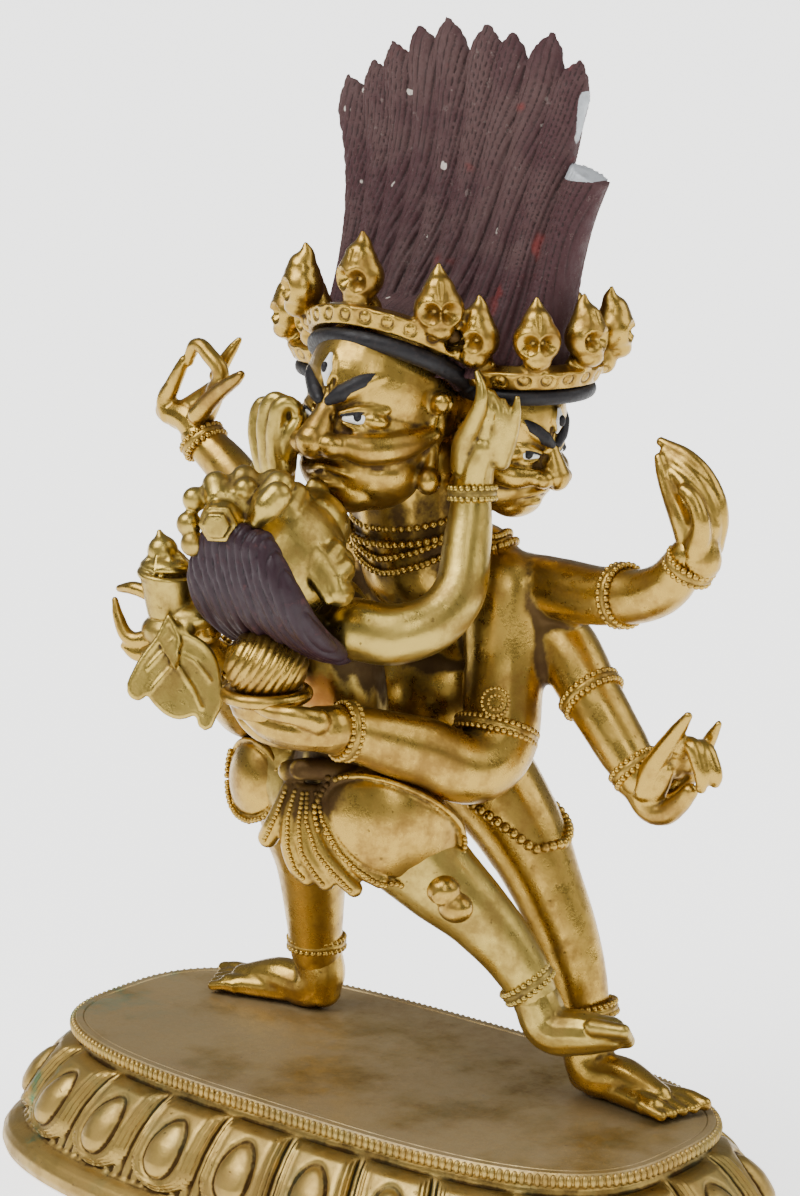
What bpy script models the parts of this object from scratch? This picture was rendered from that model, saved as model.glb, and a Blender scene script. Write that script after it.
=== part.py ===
"""Gilt copper alloy yab-yum group of Hayagriva and his consort on an oval lotus base.

Metres, +Z up. The origin is the centre of the base's underside, +X is the deity's left and -Y is the front.
Three castings make the group: the lotus base, the deity and the consort.
The figures are free forms: their points are shares of the deity's own height, written as if it stood
STATURE units tall on the plate, which is about one unit for a millimetre.
"""

import bisect
import math

import bmesh
import bpy
from mathutils import Matrix, Vector

# Driving sizes of the base
BASE_HEIGHT = 0.0200
PLATE_HALF_LENGTH = 0.0540
PLATE_HALF_WIDTH = 0.0241
FOOT_FLARE = 0.0100
RIM_HEIGHT = 0.0018
NECK_DEPTH = 0.0016
PETALS = 22
PETAL_SHIFT = 0.30
PETAL_SWELL = 0.0028
OVAL_POWER = 3.1

# Driving sizes of the figures
FIGURE_HEIGHT = 0.1515
STATURE = 151.5
GAP = 0.0003

# How finely the castings are faceted: the clay's grain is in figure units
CLAY = 0.50
THINNING_STEP = 20
DEITY_FACES = 5200
CONSORT_FACES = 2400

UNIT = FIGURE_HEIGHT / STATURE
MIDDLE = 5.7


# Scene and materials

def clear_scene():
    for thing in list(bpy.data.objects):
        bpy.data.objects.remove(thing, do_unlink=True)


def make_collection(name):
    collection = bpy.data.collections.new(name)
    bpy.context.scene.collection.children.link(collection)
    return collection


def metal(name, colour, roughness):
    material = bpy.data.materials.new(name)
    material.use_nodes = True
    shader = material.node_tree.nodes["Principled BSDF"]
    shader.inputs["Base Color"].default_value = (*colour, 1.0)
    shader.inputs["Roughness"].default_value = roughness
    shader.inputs["Metallic"].default_value = 1.0
    return material


# Clay tools: each adds a closed lump to a casting's list, in figure units above the plate

def place(point):
    return Vector((point[0] * UNIT, point[1] * UNIT, BASE_HEIGHT + GAP + point[2] * UNIT))


def turned_to(direction):
    return Vector(direction).to_track_quat("Z", "X").to_matrix().to_4x4()


def add_lump(clay, body):
    mesh = bpy.data.meshes.new("lump")
    body.to_mesh(mesh)
    body.free()
    clay.append(bpy.data.objects.new("lump", mesh))
    return mesh


def ball(clay, centre, radii, turn=None, segments=20):
    """An ellipsoid, turned by a matrix if one is given."""
    size = Matrix.Diagonal((radii[0] * UNIT, radii[1] * UNIT, radii[2] * UNIT, 1.0))
    matrix = Matrix.Translation(place(centre)) @ (turn or Matrix.Identity(4)) @ size
    body = bmesh.new()
    bmesh.ops.create_uvsphere(body, u_segments=segments, v_segments=segments // 2, radius=1.0, matrix=matrix)
    return add_lump(clay, body)


def cone(clay, foot, tip, foot_radius, tip_radius, segments=12):
    """A tapered peg from one point to another."""
    start = place(foot)
    run = place(tip) - start
    matrix = Matrix.Translation(start + run / 2) @ turned_to(run)
    body = bmesh.new()
    bmesh.ops.create_cone(
        body, cap_ends=True, segments=segments, matrix=matrix,
        radius1=foot_radius * UNIT, radius2=tip_radius * UNIT, depth=run.length,
    )
    return add_lump(clay, body)


def curve_between(points, steps):
    """Points on a smooth curve through the given (x, y, z, radius) points."""
    ends = [points[0]] + list(points) + [points[-1]]
    route = []
    for index in range(1, len(ends) - 2):
        before, start, stop, after = (Vector(ends[index + k]) for k in (-1, 0, 1, 2))
        for step in range(steps):
            t = step / steps
            bend = 0.5 * (
                2 * start + (stop - before) * t + (2 * before - 5 * start + 4 * stop - after) * t * t
                + (3 * start - before - 3 * stop + after) * t ** 3
            )
            route.append(bend)
    route.append(Vector(ends[-2]))
    return route


def tube(clay, route, closed=False, roundness=2):
    """A round bar along (x, y, z, radius) points."""
    path = bpy.data.curves.new("tube", "CURVE")
    path.dimensions = "3D"
    path.bevel_depth = UNIT
    path.bevel_resolution = roundness
    path.use_fill_caps = not closed
    spline = path.splines.new("POLY")
    spline.points.add(len(route) - 1)
    for point, entry in zip(spline.points, route):
        point.co = (*place(entry), 1.0)
        point.radius = entry[3]
    spline.use_cyclic_u = closed
    guide = bpy.data.objects.new("tube", path)
    mesh = bpy.data.meshes.new_from_object(guide)
    bpy.data.objects.remove(guide)
    clay.append(bpy.data.objects.new("lump", mesh))
    return mesh


def limb(clay, points, steps=4, segments=12):
    """A round limb through (x, y, z, radius) points, with round ends."""
    route = curve_between(points, steps)
    tube(clay, route, roundness=segments // 4)
    for point in (route[0], route[-1]):
        ball(clay, point[:3], (point[3],) * 3, segments=segments)


def hoop(clay, centre, normal, radius, thickness, flatten=1.0, segments=24):
    """A ring around an axis: a bracelet, a hem or a crown band."""
    turn = turned_to(normal)
    route = []
    for index in range(segments):
        angle = index * math.tau / segments
        spoke = turn @ Vector((math.cos(angle) * radius, math.sin(angle) * radius * flatten, 0.0))
        route.append((*(centre[k] + spoke[k] for k in range(3)), thickness))
    tube(clay, route, closed=True)


# Hands and feet. Each hand is a list of bars: the palm's first, then its fingers' and its thumb's

RAISED_RIGHT_HAND = [
    [(-39.1, 4.0, 88.0, 2.5), (-41.1, 4.0, 90.2, 2.5), (-43.6, 4.0, 90.8, 2.2), (-45.9, 4.0, 91.2, 1.8)],
    [(-40.1, 4.4, 89.7, 2.2), (-37.8, 4.4, 92.6, 1.8), (-35.9, 4.4, 95.6, 1.5)],
    [(-43.1, 4.8, 91.4, 1.6), (-39.8, 4.8, 93.3, 1.6), (-37.3, 4.8, 95.1, 1.3)],
    [(-44.9, 3.4, 90.8, 1.6), (-45.5, 3.4, 92.5, 1.5), (-44.0, 3.4, 95.3, 1.25),
     (-42.5, 3.4, 97.7, 1.05), (-41.8, 3.6, 99.1, 0.85)],
    [(-35.8, 4.0, 95.0, 1.5), (-34.7, 4.0, 97.8, 1.3), (-36.9, 4.0, 100.3, 1.25),
     (-39.5, 4.0, 101.7, 1.1), (-40.8, 4.0, 100.2, 0.95), (-41.2, 4.0, 99.0, 0.75)],
    [(-37.9, 6.5, 96.9, 1.2), (-36.5, 7.0, 99.5, 1.05), (-35.4, 7.4, 101.2, 0.85),
     (-34.5, 7.8, 102.5, 0.5)],
    [(-38.2, 2.6, 91.6, 1.6), (-35.1, 2.4, 94.3, 1.4), (-31.8, 2.0, 96.6, 1.2),
     (-29.5, 1.6, 97.9, 1.0), (-28.3, 1.4, 98.7, 0.7)],
]
RAISED_LEFT_HAND = [
    [(52.8, 3.4, 82.1, 2.9), (52.6, 3.6, 84.8, 2.6), (53.1, 4.4, 86.6, 2.0)],
    [(52.7, 6.0, 83.6, 1.7), (53.6, 6.0, 87.9, 1.5), (52.4, 5.8, 91.8, 1.35), (49.5, 5.2, 95.1, 1.1),
     (45.1, 4.6, 97.0, 0.7)],
    [(52.9, 4.8, 83.8, 1.7), (53.5, 4.6, 88.1, 1.4), (51.9, 4.4, 91.5, 1.25), (49.2, 4.2, 94.0, 1.05),
     (46.0, 4.0, 95.7, 0.7)],
    [(53.1, 3.4, 83.8, 1.7), (53.3, 3.2, 87.6, 1.3), (51.8, 3.0, 90.4, 1.2), (49.8, 3.0, 92.3, 1.0),
     (47.3, 3.2, 94.0, 0.65)],
    [(53.1, 2.0, 83.7, 1.7), (54.0, 1.6, 87.2, 1.3), (53.3, 1.6, 89.6, 1.2), (52.3, 1.6, 90.9, 1.15),
     (51.1, 1.6, 91.6, 0.9)],
    [(51.3, 3.0, 84.0, 1.8), (49.9, 2.6, 87.7, 1.6), (48.0, 2.6, 91.0, 1.2), (46.9, 2.6, 93.5, 1.0),
     (46.1, 2.8, 95.2, 0.7)],
]
LOWERED_LEFT_HAND = [
    [(41.6, 4.0, 50.1, 2.9), (43.1, 4.0, 48.7, 2.6), (44.7, 4.0, 46.4, 2.2), (46.7, 4.0, 45.8, 1.8),
     (49.4, 4.0, 47.5, 1.5), (51.3, 4.0, 49.7, 1.2)],
    [(43.6, 6.6, 48.2, 2.4), (46.5, 7.2, 49.5, 2.2), (49.3, 6.8, 51.5, 1.6)],
    [(44.7, 2.8, 49.0, 1.8), (45.8, 2.6, 51.9, 1.7), (48.0, 2.4, 55.2, 1.45), (50.4, 2.2, 58.4, 1.15),
     (52.2, 2.0, 60.8, 0.65)],
    [(48.2, 5.0, 52.2, 1.5), (50.0, 4.0, 55.3, 1.4), (51.9, 3.4, 56.3, 1.3), (53.3, 3.0, 54.4, 1.15),
     (54.0, 3.0, 52.0, 1.0), (53.7, 3.2, 50.8, 0.8)],
    [(50.1, 5.6, 53.0, 1.4), (51.6, 5.0, 55.5, 1.3), (53.2, 4.6, 55.8, 1.25), (54.6, 4.4, 54.1, 1.15),
     (55.3, 4.4, 52.4, 0.95), (55.0, 4.6, 51.5, 0.8)],
    [(50.0, 7.0, 52.6, 1.3), (51.3, 7.2, 54.9, 1.15), (52.5, 7.2, 57.0, 0.9), (53.6, 7.2, 58.9, 0.5)],
    [(45.3, 3.6, 48.0, 1.6), (47.2, 3.2, 50.2, 1.25), (48.5, 3.2, 52.4, 0.8)],
]
NEAR_HAND = [
    [(20.7, -5.0, 89.6, 2.7), (21.6, -5.4, 92.5, 2.5), (22.6, -5.2, 94.9, 2.2)],
    [(19.9, -6.6, 92.2, 1.7), (20.7, -7.2, 95.5, 1.6), (22.5, -7.4, 98.7, 1.3),
     (23.8, -7.4, 101.6, 1.0), (23.7, -7.2, 103.7, 0.8), (22.8, -7.0, 105.4, 0.45)],
    [(22.1, -5.4, 93.9, 1.5), (23.4, -5.6, 97.5, 1.1), (23.8, -5.6, 100.3, 0.95),
     (23.4, -5.6, 102.7, 0.6)],
    [(23.3, -5.0, 94.2, 1.5), (24.9, -5.0, 97.6, 1.05), (24.9, -5.0, 100.3, 0.95),
     (23.8, -5.0, 102.4, 0.6)],
    [(24.2, -4.4, 94.0, 1.4), (25.8, -4.4, 97.3, 1.0), (25.9, -4.4, 99.8, 0.85),
     (25.2, -4.4, 101.4, 0.55)],
    [(24.5, -3.8, 93.2, 1.4), (26.2, -3.8, 96.7, 0.95), (27.0, -3.8, 100.0, 0.75),
     (27.2, -3.8, 102.0, 0.4)],
]
FAR_HAND = [
    [(-3.6, -18.6, 89.4, 2.9), (-3.3, -18.6, 92.3, 2.9)],
    [(-3.9, -19.6, 90.6, 1.8), (-5.4, -19.6, 93.8, 1.5), (-6.1, -19.4, 96.8, 1.3),
     (-5.5, -19.0, 99.5, 1.15), (-4.2, -18.8, 100.0, 0.8)],
    [(-2.5, -20.0, 91.2, 1.9), (-3.2, -20.4, 94.5, 1.5), (-3.5, -20.4, 97.8, 1.3),
     (-2.5, -20.0, 100.6, 1.2), (-0.9, -19.6, 100.6, 1.0)],
    [(-1.3, -20.0, 91.3, 1.9), (-1.3, -20.6, 94.4, 1.6), (-1.1, -20.8, 97.6, 1.4),
     (0.0, -20.4, 100.4, 1.2), (1.1, -19.6, 99.9, 1.0), (1.3, -19.4, 97.9, 0.8)],
    [(-1.5, -19.0, 91.4, 1.8), (-0.2, -19.8, 93.9, 1.6), (0.9, -20.0, 96.3, 1.4),
     (1.3, -19.0, 98.4, 1.2), (0.4, -18.6, 99.9, 0.9)],
]
CUP_HAND = [
    [(14.4, -27.5, 58.5, 3.3), (11.7, -30.4, 58.7, 3.0), (7.7, -32.0, 59.1, 2.4),
     (3.7, -32.6, 60.5, 1.5), (0.4, -32.4, 61.6, 0.7)],
    [(11.4, -29.6, 57.5, 2.2), (7.0, -31.6, 57.0, 1.2), (3.1, -31.8, 58.2, 1.0),
     (0.2, -31.6, 60.3, 0.55)],
    [(15.1, -31.0, 60.4, 1.8), (13.3, -33.4, 61.4, 1.4), (9.9, -34.4, 61.5, 1.1),
     (6.8, -34.6, 61.9, 0.7)],
]
LOTUS_HAND = [
    [(-9.4, -28.6, 68.5, 2.9), (-9.7, -31.5, 68.7, 2.6), (-11.6, -33.5, 68.8, 2.1)],
    [(-10.4, -33.5, 73.8, 1.2), (-12.4, -34.5, 74.5, 1.1), (-15.0, -35.0, 75.0, 1.0),
     (-17.7, -35.0, 74.6, 0.6)],
    [(-12.6, -34.5, 68.0, 1.5), (-15.3, -35.6, 68.0, 1.1), (-17.2, -35.8, 70.6, 0.85),
     (-18.1, -35.6, 73.0, 0.5)],
    [(-12.7, -34.0, 65.9, 1.5), (-14.4, -35.4, 66.1, 1.2), (-16.3, -35.8, 66.8, 0.6)],
    [(-8.0, -32.0, 72.4, 1.6), (-6.8, -30.5, 71.5, 1.8), (-6.4, -29.4, 69.4, 2.0)],
]
LOWERED_RIGHT_HAND = [
    [(-23.8, 4.8, 55.0, 3.0), (-25.2, 4.2, 51.6, 3.0), (-26.4, 3.8, 48.8, 2.4)],
    [(-25.0, 2.4, 51.4, 1.5), (-27.4, 1.6, 48.0, 1.3), (-28.0, 2.2, 45.2, 0.8)],
    [(-25.6, 3.4, 50.8, 1.5), (-28.0, 2.8, 47.0, 1.3), (-28.2, 3.6, 43.9, 0.8)],
    [(-25.4, 4.6, 50.4, 1.5), (-27.4, 4.4, 46.4, 1.3), (-27.4, 5.2, 43.6, 0.8)],
    [(-24.8, 5.8, 50.4, 1.4), (-26.2, 6.0, 46.8, 1.2), (-25.8, 6.6, 44.4, 0.7)],
    [(-23.4, 2.6, 53.2, 1.5), (-24.0, 0.6, 50.4, 1.2), (-25.6, 0.2, 48.2, 0.7)],
]


def hand(clay, bars):
    """A hand built from the bars of its palm, its four fingers and its thumb."""
    for bar in bars:
        limb(clay, bar, steps=3, segments=8)


def foot(clay, heel, toes, ankle, width=1.0):
    """A bare foot flat on its sole, from the heel to the toes, below an ankle."""
    back = Vector(heel)
    front = Vector(toes)
    along = (front - back).normalized()
    side = along.cross(Vector((0, 0, 1))).normalized()
    length = (front - back).length
    limb(clay, [
        (*ankle, 3.7), (*(back + along * 3.0 + Vector((0, 0, 3.6))), 3.6),
        (*(back + along * length * 0.45 + Vector((0, 0, 3.0))), 3.0),
        (*(back + along * length * 0.72 + Vector((0, 0, 1.9))), 1.9),
    ])
    for reach in (-1, 1):
        limb(clay, [
            (*(back + along * 2.6 + Vector((0, 0, 2.4))), 2.4),
            (*(back + along * length * 0.55 + side * reach * 2.0 * width + Vector((0, 0, 1.8))), 1.8),
            (*(back + along * length * 0.74 + side * reach * 2.4 * width + Vector((0, 0, 1.6))), 1.6),
        ])
    for toe in range(5):
        offset = (2 - toe) * 1.55 * width
        reach = length * (0.98 - 0.028 * toe)
        limb(clay, [
            (*(back + along * length * 0.70 + side * offset + Vector((0, 0, 1.5))), 1.25),
            (*(back + along * reach + side * offset * 1.15 + Vector((0, 0, 1.05))), 1.0 if toe else 1.2),
        ], steps=2, segments=8)


# Heads, crowns and hair

def head(clay, centre, facing, pitch, size):
    """A wrathful head: brow, bulging cheeks, broad nose, mouth and chin. pitch lifts the face, in degrees."""
    yaw = math.atan2(facing[1], facing[0])
    turn = Matrix.Rotation(yaw, 4, "Z") @ Matrix.Rotation(math.radians(-pitch), 4, "Y")

    def at(forward, left, up):
        moved = turn @ Vector((forward * size, left * size, up * size))
        return tuple(centre[k] + moved[k] for k in range(3))

    def lump(spot, radii):
        ball(clay, at(*spot), tuple(radius * size for radius in radii), turn)

    def bar(*knots):
        limb(clay, [(*at(*knot[:3]), knot[3] * size) for knot in knots], segments=8)

    lump((0.6, 0, 3.2), (12.6, 10.0, 10.4))
    lump((2.0, 0, -4.6), (9.4, 9.6, 7.6))
    lump((3.4, 0, -9.4), (6.0, 7.6, 4.8))
    lump((4.4, 0, -12.2), (3.4, 4.4, 2.6))
    lump((12.8, 0, 2.8), (1.3, 1.2, 2.5))
    bar((11.6, 0, 1.0, 1.3), (12.0, 0, -2.6, 1.6), (13.1, 0, -7.0, 2.1))
    bar((6.4, -4.8, -10.2, 0.9), (10.0, 0, -9.4, 1.0), (6.4, 4.8, -10.2, 0.9))
    for side in (-1, 1):
        lump((12.4, side * 2.1, -7.4), (1.9, 1.7, 1.5))
        lump((8.6, side * 4.9, -2.6), (2.2, 3.0, 1.6))
        bar((11.0, side * 3.2, -7.0, 1.4), (8.6, side * 6.2, -6.6, 1.8), (4.6, side * 8.6, -4.4, 1.8),
            (0.2, side * 9.6, -1.6, 1.2))
        bar((12.2, side * 1.0, -1.0, 1.2), (11.4, side * 4.0, 1.6, 1.5), (8.2, side * 6.8, 4.2, 0.8))
        lump((-0.4, side * 9.6, -1.4), (1.9, 1.1, 3.6))
        bar((0.6, side * 9.0, 1.8, 1.5), (1.6, side * 11.0, 2.0, 1.6))
        lump((-0.4, side * 9.8, -7.4), (2.0, 1.6, 2.6))


def skull(clay, centre, outward, size=1.0):
    """A crown skull: a round cranium with two sockets' brow, a jaw and a pointed flame above."""
    out = Vector((outward[0], outward[1], 0)).normalized()
    side = Vector((-out.y, out.x, 0))
    up = Vector((0, 0, 1))
    point = Vector(centre)
    ball(clay, point, (3.0 * size, 3.1 * size, 3.0 * size), segments=12)
    ball(clay, point + (out * 0.9 - up * 2.4) * size, (1.9 * size,) * 3, segments=10)
    cone(clay, point + up * 1.4 * size, point + (up * 6.4 - out * 0.5) * size, 2.4 * size, 0.4, 10)
    for reach in (-1, 1):
        ball(clay, point + (out * 1.8 + side * reach * 1.3 + up * 1.0) * size, (1.1 * size,) * 3, segments=8)
    cone(clay, point - up * 2.0 * size, point - (up * 5.0 + out * 0.6) * size, 1.6 * size, 2.2 * size, 10)


HAIR_FOOT = 104.0
HAIR_RISE = 46.5
LOCK_WIDTH = 3.2
LOCK_TIPS = [
    (-16.6, 142.2), (-11.8, 144.6), (-8.2, 147.4), (-3.4, 149.9), (1.7, 151.2),
    (9.1, 150.6), (13.6, 149.7), (20.6, 149.9), (25.4, 146.3), (28.0, 131.0),
]


def flame_hair(clay):
    """Hair swept back and up into a thin fan of pointed locks. The last lock is broken off short."""
    for index, (tip_x, top) in enumerate(LOCK_TIPS):
        share = index / (len(LOCK_TIPS) - 1)
        broken = index == len(LOCK_TIPS) - 1
        foot_x = MIDDLE + 1.0 + (share - 0.5) * 34.0
        plan = math.sqrt(1 - 0.82 * (2 * share - 1) ** 2)
        route = []
        steps = 16
        for step in range(steps + 1):
            rise = step / steps
            height = HAIR_FOOT + (top - HAIR_FOOT) * rise
            taper = 1.0 if broken else min(1.0, 0.05 + 0.95 * ((top - height) / 4.0) ** 0.75)
            route.append((foot_x + (tip_x - foot_x) * rise ** 3, 0.0, height, LOCK_WIDTH * taper))
        for vert in tube(clay, route, roundness=4).vertices:
            rise = min(1.0, max(0.0, ((vert.co.z - BASE_HEIGHT - GAP) / UNIT - HAIR_FOOT) / HAIR_RISE))
            swell = (1 - rise) ** 2.2
            thick = (1.5 + 12.0 * plan * swell) / LOCK_WIDTH
            vert.co.y = vert.co.y * thick + (12.0 - 7.5 * swell) * UNIT
    ball(clay, (MIDDLE, 3.0, 104.5), (19.0, 13.0, 8.5))


# Ornaments

def bracelet(clay, centre, along, radius):
    """Two bead rows side by side."""
    step = Vector(along).normalized() * 0.8
    for side in (-1, 1):
        hoop(clay, [centre[k] + step[k] * side for k in range(3)], along, radius, 0.75, segments=18)


def crown_band(clay, centre, normal, radius):
    hoop(clay, centre, normal, radius, 1.5, segments=28)
    low = [centre[k] - Vector(normal).normalized()[k] * 2.0 for k in range(3)]
    hoop(clay, low, normal, radius - 1.4, 1.2, segments=28)


# The deity

SHOULDER = 14.0
SIDE_FACES = 6.5


def deity_clay(clay):
    # Trunk, from the hips to the neck
    ball(clay, (MIDDLE, 6.0, 47.0), (11.0, 8.0, 8.5))
    ball(clay, (MIDDLE, 4.5, 57.0), (9.8, 7.8, 9.0))
    ball(clay, (MIDDLE, 5.0, 68.0), (12.6, 8.0, 9.5))
    limb(clay, [(MIDDLE - SHOULDER + 1, 4.5, 73.2, 5.6), (MIDDLE, 5.0, 74.5, 6.6),
                (MIDDLE + SHOULDER - 1, 4.5, 73.2, 5.6)])
    limb(clay, [(MIDDLE, 3.0, 76.0, 9.5), (MIDDLE, 0.5, 83.0, 9.0), (MIDDLE, -0.5, 89.0, 9.0)])
    limb(clay, [(MIDDLE - 9.0, 3.8, 76.2, 6.0), (MIDDLE + 9.0, 3.8, 76.2, 6.0)])
    # Left leg, stretched out, and right leg, bent
    limb(clay, [(12.0, 6.5, 46.0, 7.8), (18.8, 8.0, 37.5, 6.5), (23.4, 9.0, 29.0, 5.3),
                (27.2, 10.0, 19.0, 4.6), (29.6, 10.2, 9.0, 3.8)])
    limb(clay, [(-1.0, 5.0, 46.0, 8.0), (-11.0, 2.5, 41.5, 7.2), (-19.5, 4.0, 35.5, 6.3),
                (-21.0, 8.0, 24.0, 5.3), (-23.2, 11.5, 9.0, 4.0)])
    foot(clay, (27.8, 9.6, 0.0), (48.4, 10.2, 0.0), (30.3, 10.2, 8.0))
    foot(clay, (-20.0, 12.6, 0.0), (-44.0, 9.6, 0.0), (-23.2, 12.0, 8.0), width=-1.0)
    for centre, along in (((-23.0, 11.4, 10.6), (0, 0, 1)), ((29.8, 10.2, 12.0), (-0.2, 0, 1))):
        bracelet(clay, centre, along, 4.3)
    # Tiger skin hem round the left thigh
    hoop(clay, (20.0, 8.1, 35.6), (0.5, 0.1, -0.8), 6.3, 0.8)
    # The arms that hold the consort, with the skull cup and the lotus at her back
    limb(clay, [(MIDDLE + SHOULDER, 3.3, 73.0, 6.3), (21.5, 0.8, 61.0, 5.8), (23.2, -5.5, 50.6, 5.2),
                (18.5, -14.5, 53.6, 4.9), (14.4, -24.0, 57.4, 3.8), (12.6, -28.5, 58.5, 3.2)])
    bracelet(clay, (22.6, -2.2, 54.4), (0.1, -0.5, -0.9), 5.6)
    bracelet(clay, (14.2, -24.4, 57.6), (-0.4, -0.9, 0.2), 3.9)
    hand(clay, CUP_HAND)
    ball(clay, (5.4, -30.5, 66.6), (5.7, 5.7, 4.8))
    cone(clay, (5.4, -30.5, 60.4), (5.4, -30.5, 64.4), 4.8, 6.1, 20)
    limb(clay, [(MIDDLE - SHOULDER, 3.3, 73.0, 6.0), (-11.5, -3.0, 60.0, 5.4), (-12.5, -12.0, 54.0, 4.8),
                (-10.5, -22.0, 60.5, 4.1), (-9.0, -28.5, 66.5, 3.1)])
    bracelet(clay, (-9.8, -25.0, 63.4), (0.2, -0.7, 0.65), 3.7)
    hand(clay, LOTUS_HAND)
    lotus_attribute(clay)
    # The raised pair and the lowered left arm, fanned out behind the shoulders
    limb(clay, [(17.0, 6.5, 73.0, 5.2), (27.0, 5.5, 74.0, 4.5), (37.5, 4.0, 74.8, 4.1),
                (46.5, 3.4, 77.2, 3.6), (51.3, 3.2, 82.6, 2.9)])
    bracelet(clay, (38.2, 4.0, 75.0), (1, -0.1, 0.1), 4.3)
    bracelet(clay, (50.6, 3.3, 80.9), (0.6, 0, 0.8), 3.3)
    hand(clay, RAISED_LEFT_HAND)
    limb(clay, [(17.0, 7.5, 69.0, 5.2), (26.0, 7.0, 66.5, 4.9), (33.8, 5.5, 59.4, 4.2),
                (39.5, 4.6, 53.6, 3.8), (43.2, 4.0, 50.0, 3.2)])
    bracelet(clay, (32.8, 5.6, 60.4), (0.75, -0.1, -0.65), 4.5)
    bracelet(clay, (42.3, 4.2, 50.9), (0.72, 0, -0.7), 3.5)
    hand(clay, LOWERED_LEFT_HAND)
    limb(clay, [(-5.6, 6.5, 73.0, 5.2), (-15.0, 5.0, 74.0, 4.5), (-25.0, 4.0, 76.2, 4.0),
                (-33.0, 4.0, 83.6, 3.5), (-39.4, 4.0, 88.0, 2.9)])
    bracelet(clay, (-24.0, 4.0, 75.6), (-0.9, 0, 0.3), 4.2)
    bracelet(clay, (-38.8, 4.0, 87.6), (-0.8, 0, 0.6), 3.3)
    hand(clay, RAISED_RIGHT_HAND)
    limb(clay, [(-5.6, 7.5, 69.0, 5.2), (-14.0, 7.0, 66.0, 4.8), (-20.5, 7.0, 59.4, 4.1),
                (-23.5, 5.0, 55.0, 3.6)])
    hand(clay, LOWERED_RIGHT_HAND)
    # Necklaces
    hoop(clay, (MIDDLE, 2.5, 79.0), (0, -0.35, 1), 8.2, 0.9)
    hoop(clay, (MIDDLE, 2.2, 76.8), (0, -0.35, 1), 9.6, 0.9)
    # Three heads under two crowns' bands, the main one tilted back
    head(clay, (MIDDLE, -6.2, 98.2), (0, -1), 20, 1.0)
    head(clay, (MIDDLE + 9.8, SIDE_FACES, 95.2), (1, 0), 0, 0.80)
    head(clay, (MIDDLE - 9.8, SIDE_FACES, 95.2), (-1, 0), 0, 0.80)
    crown_band(clay, (MIDDLE, -2.6, 105.6), (0, 0.55, 1), 12.4)
    crown_band(clay, (MIDDLE + 14.9, SIDE_FACES, 103.5), (0, 0, 1), 9.2)
    crown_band(clay, (MIDDLE - 14.9, SIDE_FACES, 103.5), (0, 0, 1), 9.2)
    for offset, depth, height in ((-13.0, -8.5, 114.6), (0.0, -11.2, 117.4), (11.4, -8.2, 113.6)):
        skull(clay, (MIDDLE + offset, depth, height), (offset * 0.09, -1, 0))
    for side in (-1, 1):
        for angle, reach in ((-92, 10.4), (-44, 10.4), (0, 10.4), (44, 12.2), (92, 10.4)):
            bearing = math.radians(angle)
            out = (side * math.cos(bearing), math.sin(bearing), 0)
            centre = (MIDDLE + side * 14.9 + out[0] * reach, SIDE_FACES + out[1] * reach, 109.5)
            skull(clay, centre, out, 0.92)
    flame_hair(clay)


def lotus_attribute(clay):
    """A lotus with a jewel bud above its ring and one broad leaf hanging below."""
    centre = (-10.2, -33.0)
    ball(clay, (*centre, 68.6), (5.8, 4.8, 4.0))
    cone(clay, (*centre, 71.0), (*centre, 77.2), 3.1, 4.0, 16)
    cone(clay, (*centre, 77.2), (-11.2, -33.0, 83.0), 3.9, 0.4, 8)
    hoop(clay, (*centre, 77.2), (0.1, 0, 1), 3.7, 0.6, segments=18)
    turn = Matrix.Rotation(math.radians(28), 4, "Z") @ Matrix.Rotation(math.radians(-10), 4, "X")
    ball(clay, (-5.4, -36.2, 65.0), (7.8, 1.3, 6.8), turn)


# The consort

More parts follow.
